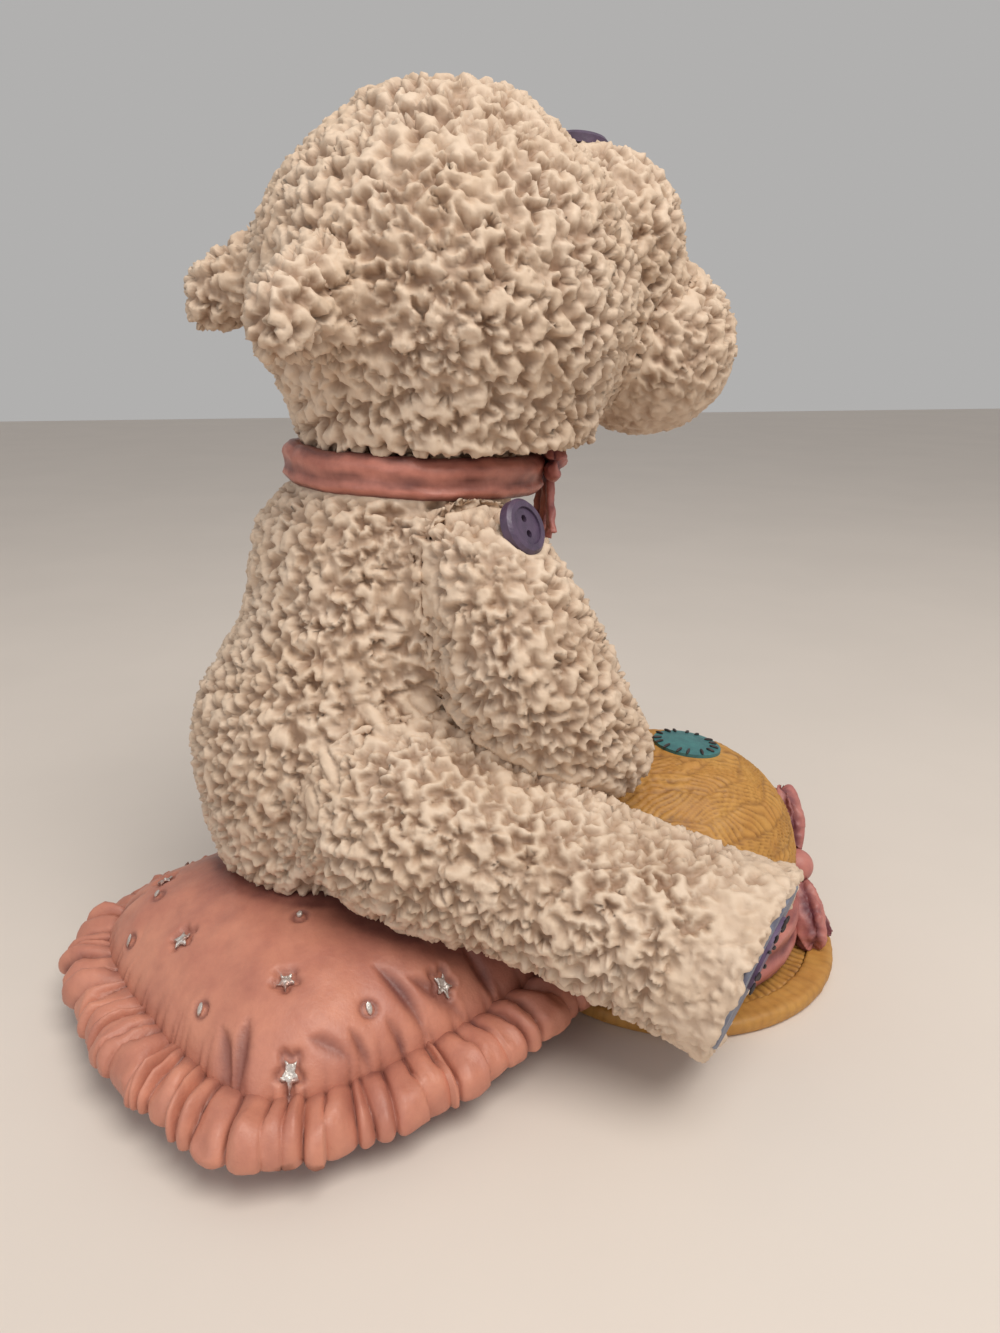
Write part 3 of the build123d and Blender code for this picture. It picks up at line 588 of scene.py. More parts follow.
def woolPiece(node, mass, joins, strengthOf=None, quietNear=(), ownShare=0.0):
    # joins: neighbour, share of the fill, reach. quietNear: neighbour, gaps of no and full stars
    coarse = voxelSkin(node, wool["coarseVoxel"], wool["coarseSmoothing"])
    fillCreases(coarse, mass, joins, ownShare)
    part, _, side = node.partition("_")
    if part == "arm":
        lowerShoulder(coarse)
    if part == "leg":
        raggedRim(coarse, side)
    mesh = evenSkin(coarse, wool["voxel"] * quickTimes, wool["smoothing"])
    points = pointsOf(mesh)
    normals = normalsOf(mesh)
    strength = np.ones(len(points))
    if strengthOf is not None:
        strength = strengthOf(points)
    for other, still, full in quietNear:
        strength = strength * smoothStep(still, full, gapTo(points, other, full))
    covered = np.zeros(len(points), dtype=bool)
    for other, _, _ in joins:
        covered |= gapTo(points, other, 1 * mm) < fill["coveredGap"]
    deep = np.zeros(len(points))
    deep[covered] = np.linalg.norm(toMass(points[covered], mass)[0], axis=1)
    dice = random.Random(wool["seed"])
    scatterStars(points, normals, deep < fill["coveredDepth"], mass, dice)
    pit, rim = punchStars(points, normals, mass, strength)
    if node in ("torso", "leg_right"):
        pressPrints(points, pit, rim)
    burr = noiseField(points, wool["burrSize"], 3, 11.0)
    crumb = noiseField(points, wool["crumbSize"], 2, 20.0)
    rough = wool["burrHeight"] * burr + wool["crumbHeight"] * crumb + rim
    rough = rough * (wool["calmest"] + (1 - wool["calmest"]) * strength)
    height = wool["rise"] + rough - pit
    # Darker in the deeper pits (real brown wash and painted shade), a little lighter on the raised
    # crumbs
    wash = pit / wool["starDepth"] * woolWashAndShade["fromDepth"] - woolWashAndShade["from"]
    dress(
        node.replace("_", "") + "Wool", mesh, points + normals * height[:, None],
        wash - woolWashAndShade["crumbs"] * crumb, woolWashAndShade["most"], woolPaint, node,
    )
    print("wool on", node, len(mesh.polygons) * 2, "triangles")


def footStrength(side):
    # The wool is worn smoother towards the sole
    def strengthOf(points):
        gaps = gapTo(points, "sole_pad_" + side, foot["wornReach"])
        patchy = foot["patchReach"] * noiseField(points, foot["patchSize"], 2, 4.0)
        worn = foot["wornStrength"]
        return worn + (1 - worn) * smoothStep(*foot["wornEdges"], gaps + patchy)
    return strengthOf


def muzzleStrength(points):
    low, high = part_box("muzzle")
    height = (points[:, 2] - low[2]) / (high[2] - low[2])
    worn = muzzleWear["strength"]
    return worn + (1 - worn) * smoothStep(*muzzleWear["heights"], height)


buttonQuiet = (0.15 * mm, 1.2 * mm)
woolPiece(
    "torso", bodyMass,
    [
        ("arm_right", 1.0, 12 * mm), ("arm_left", 1.0, 12 * mm),
        ("leg_right", 0.8, 7 * mm), ("leg_left", 0.8, 7 * mm),
    ],
    quietNear=(("neck_ribbon", -0.2 * mm, 0.8 * mm),),
)
woolPiece(
    "head", headMass,
    [("muzzle", 1.0, 8 * mm), ("ear_right", 1.0, 5 * mm), ("ear_left", 0.7, 4 * mm)],
    quietNear=(("forehead_button", *buttonQuiet), ("eyes", 0.1 * mm, 1.0 * mm)), ownShare=0.6,
)
woolPiece(
    "muzzle", headMass, [("head", 1.0, 8 * mm)], muzzleStrength,
    quietNear=(("nose_stitching", 0.2 * mm, 1.5 * mm), ("mouth_stitching", 0.2 * mm, 1.5 * mm)),
)
for side in ("right", "left"):
    woolPiece(
        "leg_" + side, bodyMass, [("torso", 0.8, 7 * mm), ("arm_" + side, 0.3, 3 * mm)],
        footStrength(side), quietNear=(("sole_pad_" + side, 0.0, 0.8 * mm),),
    )
    woolPiece(
        "arm_" + side, bodyMass, [("torso", 1.0, 12 * mm), ("leg_" + side, 0.3, 3 * mm)],
        quietNear=(("shoulder_button_" + side, *buttonQuiet),),
    )
    woolPiece("ear_" + side, headMass, [("head", 0.9, 5 * mm)])
print("wool done")


# Pillow: a soft top with puckers along its seam, and a gathered ruffle around it

pillow = {
    "middle": Vector((-8.4, 1.2, 0)) * mm, "turn": math.radians(29.5),
    "halfWidth": 25.0 * mm, "cornerShare": 0.835, "seamHeight": 6.6 * mm,
    "seamSteps": 1440, "crownHeight": 12.0 * mm, "pleats": 84, "pleatSpread": 0.6,
    "pleatHeights": (0.45, 1.2), "pleatTilt": 0.6, "pleatPower": 0.52,
    "creaseEnds": (0.6, 1.3, 1.3, 1.3),   # share of the ruffle's width at which one fades out
    "puckerDepth": 0.65 * mm, "puckerLevel": 0.75, "puckerReach": 0.5,
    "puckerPower": 1.6, "puckerSpread": (0.5, 0.8), "upperHeights": (0.01, 0.06),
    "creaseTaper": 0.15, "creaseSteepness": 1.2, "lumpSize": 12 * mm,
    "lumpHeight": 0.45 * mm, "fineSize": 3.5 * mm, "voxel": 0.36 * mm,
    "smoothing": 6, "seatReach": 9.0 * mm, "seatDent": 0.2 * mm,
    "seatWidth": 1.2 * mm, "trimReach": 1.5 * mm,
    "trimClearing": (0.2 * mm, 1.4 * mm), "beadRing": 0.85 * mm,
    "beadRingWidth": 0.28 * mm, "beadGroove": 0.32 * mm, "starRing": 0.30 * mm,
    "starRingWidth": 0.25 * mm, "starGroove": 0.25 * mm, "starDent": 0.55 * mm,
    "starDentEdges": (0.1 * mm, 1.0 * mm), "seed": 5,
}
# How strong the painted shade is in each kind of hollow of the top (creases, pleat grooves, rings
# and the seam), with painted shadow next to the seated body in seat and shade; fine is a random
# tone
pillowShadeAndTone = {
    "crease": 0.9, "creaseFull": 0.6 * mm,
    "pleat": 0.75, "pleatFrom": 1.15, "pleatSlope": 1.25,
    "seat": 0.85, "seatWidth": 1.6 * mm, "shade": 0.35, "shadeWidth": 5 * mm,
    "ring": 0.8, "ringFull": 0.3 * mm, "fine": 0.22, "seam": 0.5, "seamHeights": (0.05, 0.16),
}
# Creases in the top: from, to, half width and depth in millimetres, on the pillow's own axes
pillowCreases = (
    ((-12.4, 21.6), (-17.0, 23.4), 0.75, 0.75), ((-14.6, 19.6), (-17.8, 23.2), 0.9, 0.8),
    ((-18.0, 5.6), (-24.4, 3.6), 0.9, 0.7), ((-20.5, 3.0), (-24.5, -1.4), 0.8, 0.7),
    ((-20.0, -5.6), (-24.4, -6.2), 0.9, 0.7), ((-20.4, 15.6), (-23.0, 12.9), 0.7, 0.5),
    ((-21.6, 11.6), (-24.2, 10.8), 0.6, 0.5), ((-22.4, 7.4), (-24.6, 6.6), 0.6, 0.5),
    ((-14.0, -19.0), (-19.0, -22.6), 0.9, 0.6), ((3.0, -20.0), (4.4, -24.4), 0.8, 0.6),
    ((20.4, 4.0), (24.4, 5.0), 0.8, 0.6), ((17.0, 17.8), (21.0, 20.8), 0.9, 0.6),
)
ruffle = {
    "segments": 1440,
    "quickSegments": 3,
    "sides": 28, "edgePower": 0.75, "facePower": 0.8, "rootShare": 0.93,
    "reach": 7.7 * mm, "reachSpread": 0.7 * mm, "scallop": 1.3 * mm,
    "halfThickness": 1.1 * mm, "thinnest": 0.6, "rootHeight": 7.0 * mm,
    "edgeHeight": 5.4 * mm, "droopPower": 1.6, "bulge": 1.75 * mm,
    "bulgeAtSeam": 0.35, "bulgeFull": 0.75, "underBulge": 0.6 * mm,
    "lean": 2.2 * mm, "leanFrom": 0.25, "leanWaves": 6, "creaseFill": 0.8,
    "creaseFade": 0.15, "lumpSize": 3.6 * mm, "lumpHeight": 0.75 * mm,
    "lumpsFrom": -0.2, "wave": 0.7 * mm, "waves": 3, "pleatLevel": 0.3 * mm,
    "grainSize": 2.2 * mm, "grainHeight": 0.16 * mm,
}
# Painted shade in the ruffle's pleat grooves except on its underside, near its seam and in the
# dips of its lumps, and a random tone from its grain
ruffleShadeAndTone = {
    "grooveFrom": 1.2, "grooveSlope": 1.9, "facing": -0.4,
    "seam": 0.6, "seamEdges": (0.15, 0.4), "lump": 0.25, "grain": 0.15,
}
starSilver = {
    "voxel": 0.12 * mm, "smoothing": 1, "crumpleSize": 0.7 * mm,
    "crumpleHeight": 0.22 * mm, "sink": 0.05 * mm, "wornSize": 1.6 * mm,
    "wornEdges": (0.0, 0.3), "wornWash": 0.8,
}
beadSilver = {
    "voxel": 0.1 * mm, "smoothing": 2, "span": 2.5 * mm, "share": 0.62,
    "rise": 0.12 * mm, "roundness": 0.25 * mm, "toneAndShadeEdges": (0.5 * mm, 1.0 * mm),
}


def outlineRadius(halfWidth, angle):
    roundness = math.log(0.5) / math.log(pillow["cornerShare"])
    cosine = np.abs(np.cos(angle)) ** roundness
    sine = np.abs(np.sin(angle)) ** roundness
    return halfWidth / (cosine + sine) ** (1 / roundness)


def pillowLocal(points):
    # On the pillow's own axes, its middle at zero
    turned = Matrix.Rotation(-pillow["turn"], 3, "Z")
    return (points - np.array(pillow["middle"])) @ np.array(turned).T


def pillowWorld(points):
    turned = Matrix.Rotation(pillow["turn"], 3, "Z")
    return points @ np.array(turned).T + np.array(pillow["middle"])


# Length along the seam for every angle, and where each pleat starts
seamAngles = np.linspace(-math.pi, math.pi, pillow["seamSteps"] + 1)
seamRadii = outlineRadius(pillow["halfWidth"], seamAngles)
seamX, seamY = seamRadii * np.cos(seamAngles), seamRadii * np.sin(seamAngles)
seamLengths = np.concatenate([[0.0], np.cumsum(np.hypot(np.diff(seamX), np.diff(seamY)))])
pleats = range(pillow["pleats"])
dice = random.Random(pillow["seed"])
pleatWidths = np.array([1 + pillow["pleatSpread"] * dice.uniform(-1, 1) for _ in pleats])
pleatStarts = np.concatenate([[0.0], np.cumsum(pleatWidths)]) / pleatWidths.sum() * seamLengths[-1]
pleatHeights = np.array([dice.uniform(*pillow["pleatHeights"]) for _ in pleats])
pleatShifts = np.array([dice.uniform(-1, 1) for _ in pleats])
pleatTilts = np.array([dice.uniform(-pillow["pleatTilt"], pillow["pleatTilt"]) for _ in pleats])
creaseEnds = np.array([dice.choice(pillow["creaseEnds"]) for _ in range(pillow["pleats"] + 1)])


def pleatAt(along):
    # At a length along the seam: the pleat's roundness, 0 in its grooves, its number, and the
    # place across it from -1 to 1
    wrapped = np.mod(along, seamLengths[-1])
    number = np.searchsorted(pleatStarts, wrapped, side="right") - 1
    number = np.clip(number, 0, pillow["pleats"] - 1)
    share = (wrapped - pleatStarts[number]) / (pleatStarts[number + 1] - pleatStarts[number])
    across = 2 * share - 1
    return (1 - across ** 2) ** pillow["pleatPower"], number, across


def makeRuffle():
    steps = ruffle["segments"] // 1
    mesh = spunRing("ruffle", ruffle["sides"], steps)
    angle, outward, upward = spunPlaces(mesh)
    share = 0.5 + 0.5 * signedPower(outward, ruffle["edgePower"])   # 0 at the seam, 1 at the edge
    thick = signedPower(upward, ruffle["facePower"])
    along = np.interp(angle, seamAngles, seamLengths)
    compass = roundAxis(1, angle, np.zeros(len(angle)))
    sway = noiseField(compass * ruffle["leanWaves"], 1.0, 2, 3.0)
    lean = ruffle["lean"] * sway * (share - ruffle["leanFrom"])
    roundness, number, across = pleatAt(along + lean)
    nextEnd = creaseEnds[(number + 1) % pillow["pleats"]]
    creaseEnd = np.where(across < 0, creaseEnds[number], nextEnd)
    fade = ruffle["creaseFade"]
    shallow = ruffle["creaseFill"] * smoothStep(creaseEnd - fade, creaseEnd + fade, share)
    roundness = roundness + (1 - roundness) * shallow
    height = pleatHeights[number] * roundness * (1 + pleatTilts[number] * across)
    reach = ruffle["reach"] + ruffle["reachSpread"] * pleatShifts[number]
    reach = reach - ruffle["scallop"] * (1 - roundness)
    root = outlineRadius(pillow["halfWidth"] * ruffle["rootShare"], angle)
    radius = root + share * reach
    least = ruffle["bulgeAtSeam"]
    rise = least + (1 - least) * smoothStep(0.0, ruffle["bulgeFull"], share)
    drop = ruffle["edgeHeight"] - ruffle["rootHeight"]
    level = ruffle["rootHeight"] + drop * share ** ruffle["droopPower"]
    wave = ruffle["wave"] * noiseField(compass * ruffle["waves"], 1.0, 2, 9.0)
    level = level + (ruffle["pleatLevel"] * pleatShifts[number] + wave) * share
    thinned = ruffle["thinnest"] + (1 - ruffle["thinnest"]) * roundness
    top = level + thick * (ruffle["halfThickness"] * thinned + ruffle["bulge"] * height * rise)
    under = level + thick * (ruffle["halfThickness"] + ruffle["underBulge"] * roundness * share)
    z = np.where(thick > 0, top, under)
    lumps = noiseField(roundAxis(radius, angle, z), ruffle["lumpSize"], 2, 7.0)
    z = z + ruffle["lumpHeight"] * lumps * rise * (thick > ruffle["lumpsFrom"])
    grain = noiseField(roundAxis(radius, angle, z), ruffle["grainSize"], 3, 4.0)
    z = z + ruffle["grainHeight"] * grain
    places = pillowWorld(roundAxis(radius, angle, z))
    # Painted shade: darker in the grooves between pleats, near the seam and in the dips, with a
    # random tone from the grain
    wash = np.clip(ruffleShadeAndTone["grooveFrom"] - roundness * ruffleShadeAndTone["grooveSlope"], 0, 1)
    wash = wash * (thick > ruffleShadeAndTone["facing"])
    wash = wash + ruffleShadeAndTone["seam"] * (1 - smoothStep(*ruffleShadeAndTone["seamEdges"], share))
    wash = wash + ruffleShadeAndTone["lump"] * np.clip(-lumps, 0, 1) + ruffleShadeAndTone["grain"] * grain
    dress("pillowRuffle", mesh, places, wash, 1, pillowPaint, "pillow_ruffle")
    print("ruffle gathered")


def creaseDepth(local, start, end, halfWidth, depth):
    # A leaf-shaped groove between two places
    start = np.array(start) * mm
    line = np.array(end) * mm - start
    length = np.hypot(*line)
    along = ((local[:, :2] - start) @ line) / length ** 2
    side = np.hypot(*(local[:, :2] - start - np.clip(along, 0, 1)[:, None] * line).T)
    taper = 1 - (2 * np.clip(along, 0, 1) - 1) ** 2
    taper = np.clip(taper, pillow["creaseTaper"], 1) ** 0.5
    wide = (side / (halfWidth * mm * taper)) ** 2
    return depth * mm * taper * np.exp(-wide * pillow["creaseSteepness"])


def beadMiddles():
    # The middle of each bead of the node
    points = pointsOf(nodes["pillow_beads"].data)
    middles = []
    while len(points):
        near = np.linalg.norm(points - points[0], axis=1) < beadSilver["span"]
        middles.append((points[near].min(axis=0) + points[near].max(axis=0)) / 2)
        points = points[~near]
    return middles


def makePillowTop():
    mesh, points, normals = readSkin("pillow_top", pillow)
    local = pillowLocal(points)
    angle = np.arctan2(local[:, 1], local[:, 0])
    spread = np.hypot(local[:, 0], local[:, 1]) / outlineRadius(pillow["halfWidth"], angle)
    high = (local[:, 2] - pillow["seamHeight"]) / pillow["crownHeight"]
    upper = smoothStep(*pillow["upperHeights"], high)
    roundness, number, _ = pleatAt(np.interp(angle, seamAngles, seamLengths))
    edge = np.clip(1 - high / pillow["puckerReach"], 0, 1) ** pillow["puckerPower"]
    edge = edge * upper * smoothStep(*pillow["puckerSpread"], spread)
    pucker = roundness * pleatHeights[number] - pillow["puckerLevel"]
    pucker = pillow["puckerDepth"] * edge * pucker
    lumps = pillow["lumpHeight"] * noiseField(points, pillow["lumpSize"], 3, 2.0)
    press = np.zeros(len(points))
    for crease in pillowCreases:
        press = np.maximum(press, creaseDepth(local, *crease))
    seat = np.full(len(points), pillow["seatReach"])
    for node in ("torso", "leg_right", "leg_left"):
        seat = np.minimum(seat, np.abs(gapTo(points, node, pillow["seatReach"])))
    starGap = np.abs(gapTo(points, "pillow_stars", pillow["trimReach"]))
    trimGap = np.abs(gapTo(points, "pillow_beads", pillow["trimReach"]))
    still = smoothStep(*pillow["trimClearing"], starGap)
    still = still * smoothStep(*pillow["trimClearing"], trimGap)
    beadGaps = [np.linalg.norm(points - middle, axis=1) for middle in beadMiddles()]
    beadRing = (np.min(beadGaps, axis=0) - pillow["beadRing"]) / pillow["beadRingWidth"]
    starRing = (starGap - pillow["starRing"]) / pillow["starRingWidth"]
    rings = pillow["beadGroove"] * np.exp(-beadRing ** 2)
    rings = rings + pillow["starGroove"] * np.exp(-starRing ** 2)
    height = (pucker + lumps * (1 - edge) * upper - press) * still - rings * upper
    height = height - pillow["seatDent"] * np.exp(-(seat / pillow["seatWidth"]) ** 2) * upper
    dent = pillow["starDent"] * (1 - smoothStep(*pillow["starDentEdges"], starGap))
    moved = points + normals * (height - dent * upper)[:, None]

    # Painted shade in creases, pleat grooves, the rings round the trim and along the seam, painted
    # shadow where the lamb sits, and a random tone
    strong = pillowShadeAndTone
    fine = noiseField(points, pillow["fineSize"], 4, 6.0)
    grooves = edge * np.clip(strong["pleatFrom"] - roundness * strong["pleatSlope"], 0, 1)
    wash = strong["crease"] * np.clip(press / strong["creaseFull"], 0, 1)
    wash = wash + strong["pleat"] * grooves
    wash = wash + strong["seat"] * np.exp(-(seat / strong["seatWidth"]) ** 2)
    wash = wash + strong["shade"] * np.exp(-(seat / strong["shadeWidth"]) ** 2)
    wash = wash + strong["ring"] * np.clip(rings / strong["ringFull"], 0, 1)
    wash = wash + strong["fine"] * np.clip(fine, 0, 1)
    wash = wash + strong["seam"] * (1 - smoothStep(*strong["seamHeights"], high))
    dress("pillowTop", mesh, moved, wash, 1, pillowPaint, "pillow_top")
    print("pillow top puckered")


def makeStars():
    # Crumpled silver at the bottom of each star's dent, worn away in places
    foil = starSilver
    mesh, points, _ = readSkin("pillow_stars", foil)
    crumple = foil["crumpleHeight"] * noiseField(points, foil["crumpleSize"], 3, 15.0)
    points[:, 2] += crumple - pillow["starDent"] - foil["sink"]
    worn = smoothStep(*foil["wornEdges"], noiseField(points, foil["wornSize"], 2, 16.0))
    dress(
        "pillowStars", mesh, points, worn, foil["wornWash"],
        silverPaint, "pillow_stars",
    )


def makeBeads():
    mesh, points, _ = readSkin("pillow_beads", beadSilver)
    middles = np.array(beadMiddles())
    gaps = [np.linalg.norm(points - middle, axis=1) for middle in middles]
    nearest = np.argmin(gaps, axis=0)
    local = points - middles[nearest]
    reach = np.hypot(local[:, 0], local[:, 1])
    local[:, :2] *= beadSilver["share"]
    local[:, 2] += beadSilver["rise"] - beadSilver["roundness"] * (reach / mm) ** 2
    dress(
        "pillowBeads", mesh, middles[nearest] + local, smoothStep(*beadSilver["toneAndShadeEdges"], reach),
        1, silverPaint, "pillow_beads",
    )


makeRuffle()
makePillowTop()
makeStars()
makeBeads()


# Ribbons: soft lengthwise folds in the neck's band, and creases from the knots in the bows

ribbon = {
    "segments": 420, "sides": 36, "tall": 4.7 * mm, "tallSway": 0.05,
    "levelSway": 0.18 * mm, "tilt": math.radians(3.0), "thickness": 2.0 * mm,
    "edgePower": 0.8, "facePower": 0.5, "foldHeight": 0.42 * mm, "foldLevel": 0.5,
    "upperShare": 1.1,
    "upperFold": (0.42, 0.15, 0.34),    # place, sway and width, where the half height is 1
    "lowerFold": (-0.60, 0.12, 0.22), "swayWaves": 2.5, "streaksRound": 4,
    "streaksUp": 3.2, "streakHeight": 0.16 * mm,
}
# Painted shade on the neck ribbon's outer face: darker between its folds and along its upper and
# lower edges, with random streaks
ribbonShadeAndTone = {
    "most": 0.75, "upper": 1.1, "lower": 0.9, "edge": 0.7, "edgeHeights": (0.75, 0.98),
    "streaks": 0.45, "facing": -0.3,
}
bow = {
    "voxel": 0.2 * mm, "smoothing": 3, "wobbleSize": 2.5 * mm,
    "wobble": 1.6, "waveLevel": 0.3, "knotFade": (0.0, 0.3), "endFade": (0.75, 1.1),
    "endShare": 0.4, "fineSize": 1.1 * mm, "fineHeight": 0.12 * mm, "frillRound": 3,
    "frillAlong": 9, "frillEdges": (0.5, 1.0),
}
# Painted shade in the bows' creases and next to the knot, and a random tone
bowShadeAndTone = {
    "level": 0.4, "waves": 0.85, "knot": 0.7, "knotEdges": (0.05, 0.35), "fine": 0.2,
}
# Knot, number of creases, their depth, the frill of the end, and the seed of its unevenness
bowParts = {
    "bow_loop": ("bow_knot", 3, 0.45 * mm, 0.3 * mm, 3.0),
    "bow_tail": ("bow_knot", 2, 0.15 * mm, 0.4 * mm, 4.0),
    "hat_bow_loop": ("hat_bow_knot", 4, 0.65 * mm, 0.7 * mm, 6.0),
    "hat_bow_tail": ("hat_bow_knot", 2, 0.2 * mm, 0.7 * mm, 7.0),
}


def foldAt(up, sway, fold):
    place, share, width = fold
    return np.exp(-((up - place - share * sway) / width) ** 2)


def makeNeckRibbon():
    low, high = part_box("neck_ribbon")
    middle = (Vector(low) + Vector(high)) / 2
    outer = (high[0] - low[0]) / 2
    mesh = spunRing("neckRibbon", ribbon["sides"], ribbon["segments"])
    angle, outward, upward = spunPlaces(mesh)
    up = signedPower(upward, ribbon["edgePower"])
    out = signedPower(outward, ribbon["facePower"])
    compass = roundAxis(1, angle, np.zeros(len(angle)))
    sway = noiseField(compass * ribbon["swayWaves"], 1.0, 3, 8.0)
    streakPlaces = roundAxis(ribbon["streaksRound"], angle, ribbon["streaksUp"] * up)
    streaks = noiseField(streakPlaces, 1.0, 3, 1.0)
    upperFold = foldAt(up, sway, ribbon["upperFold"])
    lowerFold = foldAt(up, sway, ribbon["lowerFold"])
    fold = ribbon["upperShare"] * upperFold + lowerFold - ribbon["foldLevel"]
    fold = ribbon["foldHeight"] * fold * (outward > 0)
    radius = outer - ribbon["thickness"] * (1 - out) / 2 + fold + ribbon["streakHeight"] * streaks
    height = up * ribbon["tall"] / 2 * (1 + ribbon["tallSway"] * sway) + ribbon["levelSway"] * sway
    tilted = roundAxis(radius, angle, height)
    tilted = tilted @ np.array(Matrix.Rotation(ribbon["tilt"], 3, "X")).T
    # Painted shade, lighter on the fold crests and darker at the edges, and a random tone in
    # streaks
    folds = ribbonShadeAndTone["upper"] * upperFold + ribbonShadeAndTone["lower"] * lowerFold
    wash = np.clip(ribbonShadeAndTone["most"] - folds, 0, 1)
    wash = wash + ribbonShadeAndTone["edge"] * smoothStep(*ribbonShadeAndTone["edgeHeights"], np.abs(up))
    dress(
        "neckRibbon", mesh, tilted + np.array(middle), wash + ribbonShadeAndTone["streaks"] * streaks,
        outward > ribbonShadeAndTone["facing"], neckRibbonPaint, "neck_ribbon",
    )
    print("neck ribbon folded")


def creasedPiece(name, node, shape):
    # A loop or tail with creases that run out from the knot, and a frilled end
    knot, creases, depth, frill, seed = shape
    mesh, points, normals = readSkin(node, bow)
    low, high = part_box(knot)
    start = (np.array(low) + np.array(high)) / 2
    axis = points.mean(axis=0) - start
    length = np.linalg.norm(axis)
    axis = Vector(axis / length)
    first = axis.orthogonal().normalized()
    second = axis.cross(first)
    local = points - start
    along = local @ np.array(axis) / (2 * length)   # 0 at the knot, about 1 at the end
    around = np.arctan2(local @ np.array(second), local @ np.array(first))
    wobble = bow["wobble"] * noiseField(points, bow["wobbleSize"], 2, seed)
    wave = np.cos(creases * around + seed + wobble)
    taper = smoothStep(*bow["knotFade"], along)
    taper = taper * (1 - bow["endShare"] * smoothStep(*bow["endFade"], along))
    fine = noiseField(points, bow["fineSize"], 3, seed + 5)
    height = depth * (wave - bow["waveLevel"]) * taper + bow["fineHeight"] * fine
    swing = np.sin(bow["frillRound"] * around + bow["frillAlong"] * along + seed)
    swing = frill * swing * smoothStep(*bow["frillEdges"], along)
    moved = points + normals * height[:, None] + np.array(first) * swing[:, None]
    # Painted shade: darker in the crease valleys and by the knot, with a random tone
    wash = np.clip(bowShadeAndTone["level"] - bowShadeAndTone["waves"] * wave, 0, 1) * taper
    wash = wash + bowShadeAndTone["knot"] * (1 - smoothStep(*bowShadeAndTone["knotEdges"], along))
    dress(name, mesh, moved, wash + bowShadeAndTone["fine"] * fine, 1, ribbonPaint, node)


makeNeckRibbon()
for side in ("right", "left"):
    for part, shape in bowParts.items():
        first, *others = part.split("_")
        name = first + "".join(word.capitalize() for word in others)
        creasedPiece(name + side, part + "_" + side, shape)
print("bows creased")


# Hat: straw strokes laid in rows like a braid, on the crown and across the brim

hat = {
    "axis": Vector((-5.9, -43.9, 0)) * mm,
    "brimAxis": Vector((-5.9, -45.9, 0)) * mm, "voxel": 0.3 * mm,
    "rowWidth": 3.5 * mm, "rowEdges": (0.12, 0.9), "rowDepth": 0.35,
    "domeMiddle": 0.25,            # shares of the crown's height
    "domeRadius": 0.72, "wanderSize": 5 * mm, "wanderReach": 1.0 * mm,
    "innerRadius": 2.5 * mm, "strokePitch": 1.15 * mm, "strokeDepth": 0.34 * mm,
    "strokePower": 0.7, "strokeWander": 0.5 * mm, "slant": 0.95, "slantShare": 1.4,
    "crownSmoothing": 4, "crownRise": 0.16 * mm, "crownRoughSize": 2.5 * mm,
    "crownRough": 0.14 * mm, "patchGaps": (0.0, 0.8 * mm), "undersideFrom": -0.5,
    "brimSmoothing": 2, "brimPitch": 1.25 * mm, "brimPitchRadius": 20.0 * mm,
    "brimDepth": 0.3 * mm, "brimPower": 0.6, "brimWanderSize": 4 * mm,
    "brimWander": 0.9, "brimRowWidth": 1.7 * mm, "brimRowDepth": 0.0875,
    "brimRoughSize": 2.0 * mm, "brimRough": 0.12 * mm, "bandDepth": 0.1 * mm,
    "bandSmooth": 0.75,
}
# Painted shade in the grooves between straw strokes, a random tone from the roughness, and the
# brim's top a little darker all over
strawShadeAndTone = {"power": 1.3, "groove": 0.95, "rough": 0.2, "brim": 0.1, "brimRough": 0.15}
hatRibbon = {
    "voxel": 0.35 * mm, "smoothing": 2, "swaySize": 7 * mm, "sway": 1.5,
    "foldPitch": 6.0 * mm / 1.7, "foldHeight": 0.22 * mm, "foldLevel": 0.5,
    "shadeLevel": 0.3, "shadeFolds": 0.7, "toneSway": 0.3,
}


def strawRows(points, axis, domeHeight):
    # Groove depth share of slanted strokes, in rows that turn about the hat's axis
    local = points - np.array(axis)
    around = np.arctan2(local[:, 1], local[:, 0])
    radius = np.hypot(local[:, 0], local[:, 1])
    down = np.arctan2(radius, local[:, 2] - hat["domeMiddle"] * domeHeight)
    wander = noiseField(points, hat["wanderSize"], 2, 1.5)
    down = down * hat["domeRadius"] * domeHeight + hat["wanderReach"] * wander
    row = np.floor(down / hat["rowWidth"])
    share = down / hat["rowWidth"] - row
    ringRadius = np.maximum(radius, hat["innerRadius"])
    lean = np.where(np.mod(row, 2) == 0, 1.0, -1.0) * hat["slant"]
    lean = lean * (share - 0.5) * hat["rowWidth"]
    count = around * ringRadius + lean * hat["slantShare"] + hat["strokeWander"] * wander
    stroke = np.abs(np.sin(math.pi * count / hat["strokePitch"])) ** hat["strokePower"]
    start, end = hat["rowEdges"]
    edge = smoothStep(0.0, start, share) * (1 - smoothStep(end, 1.0, share))
    return 1 - np.clip(stroke * (hat["rowDepth"] + (1 - hat["rowDepth"]) * edge), 0, 1)


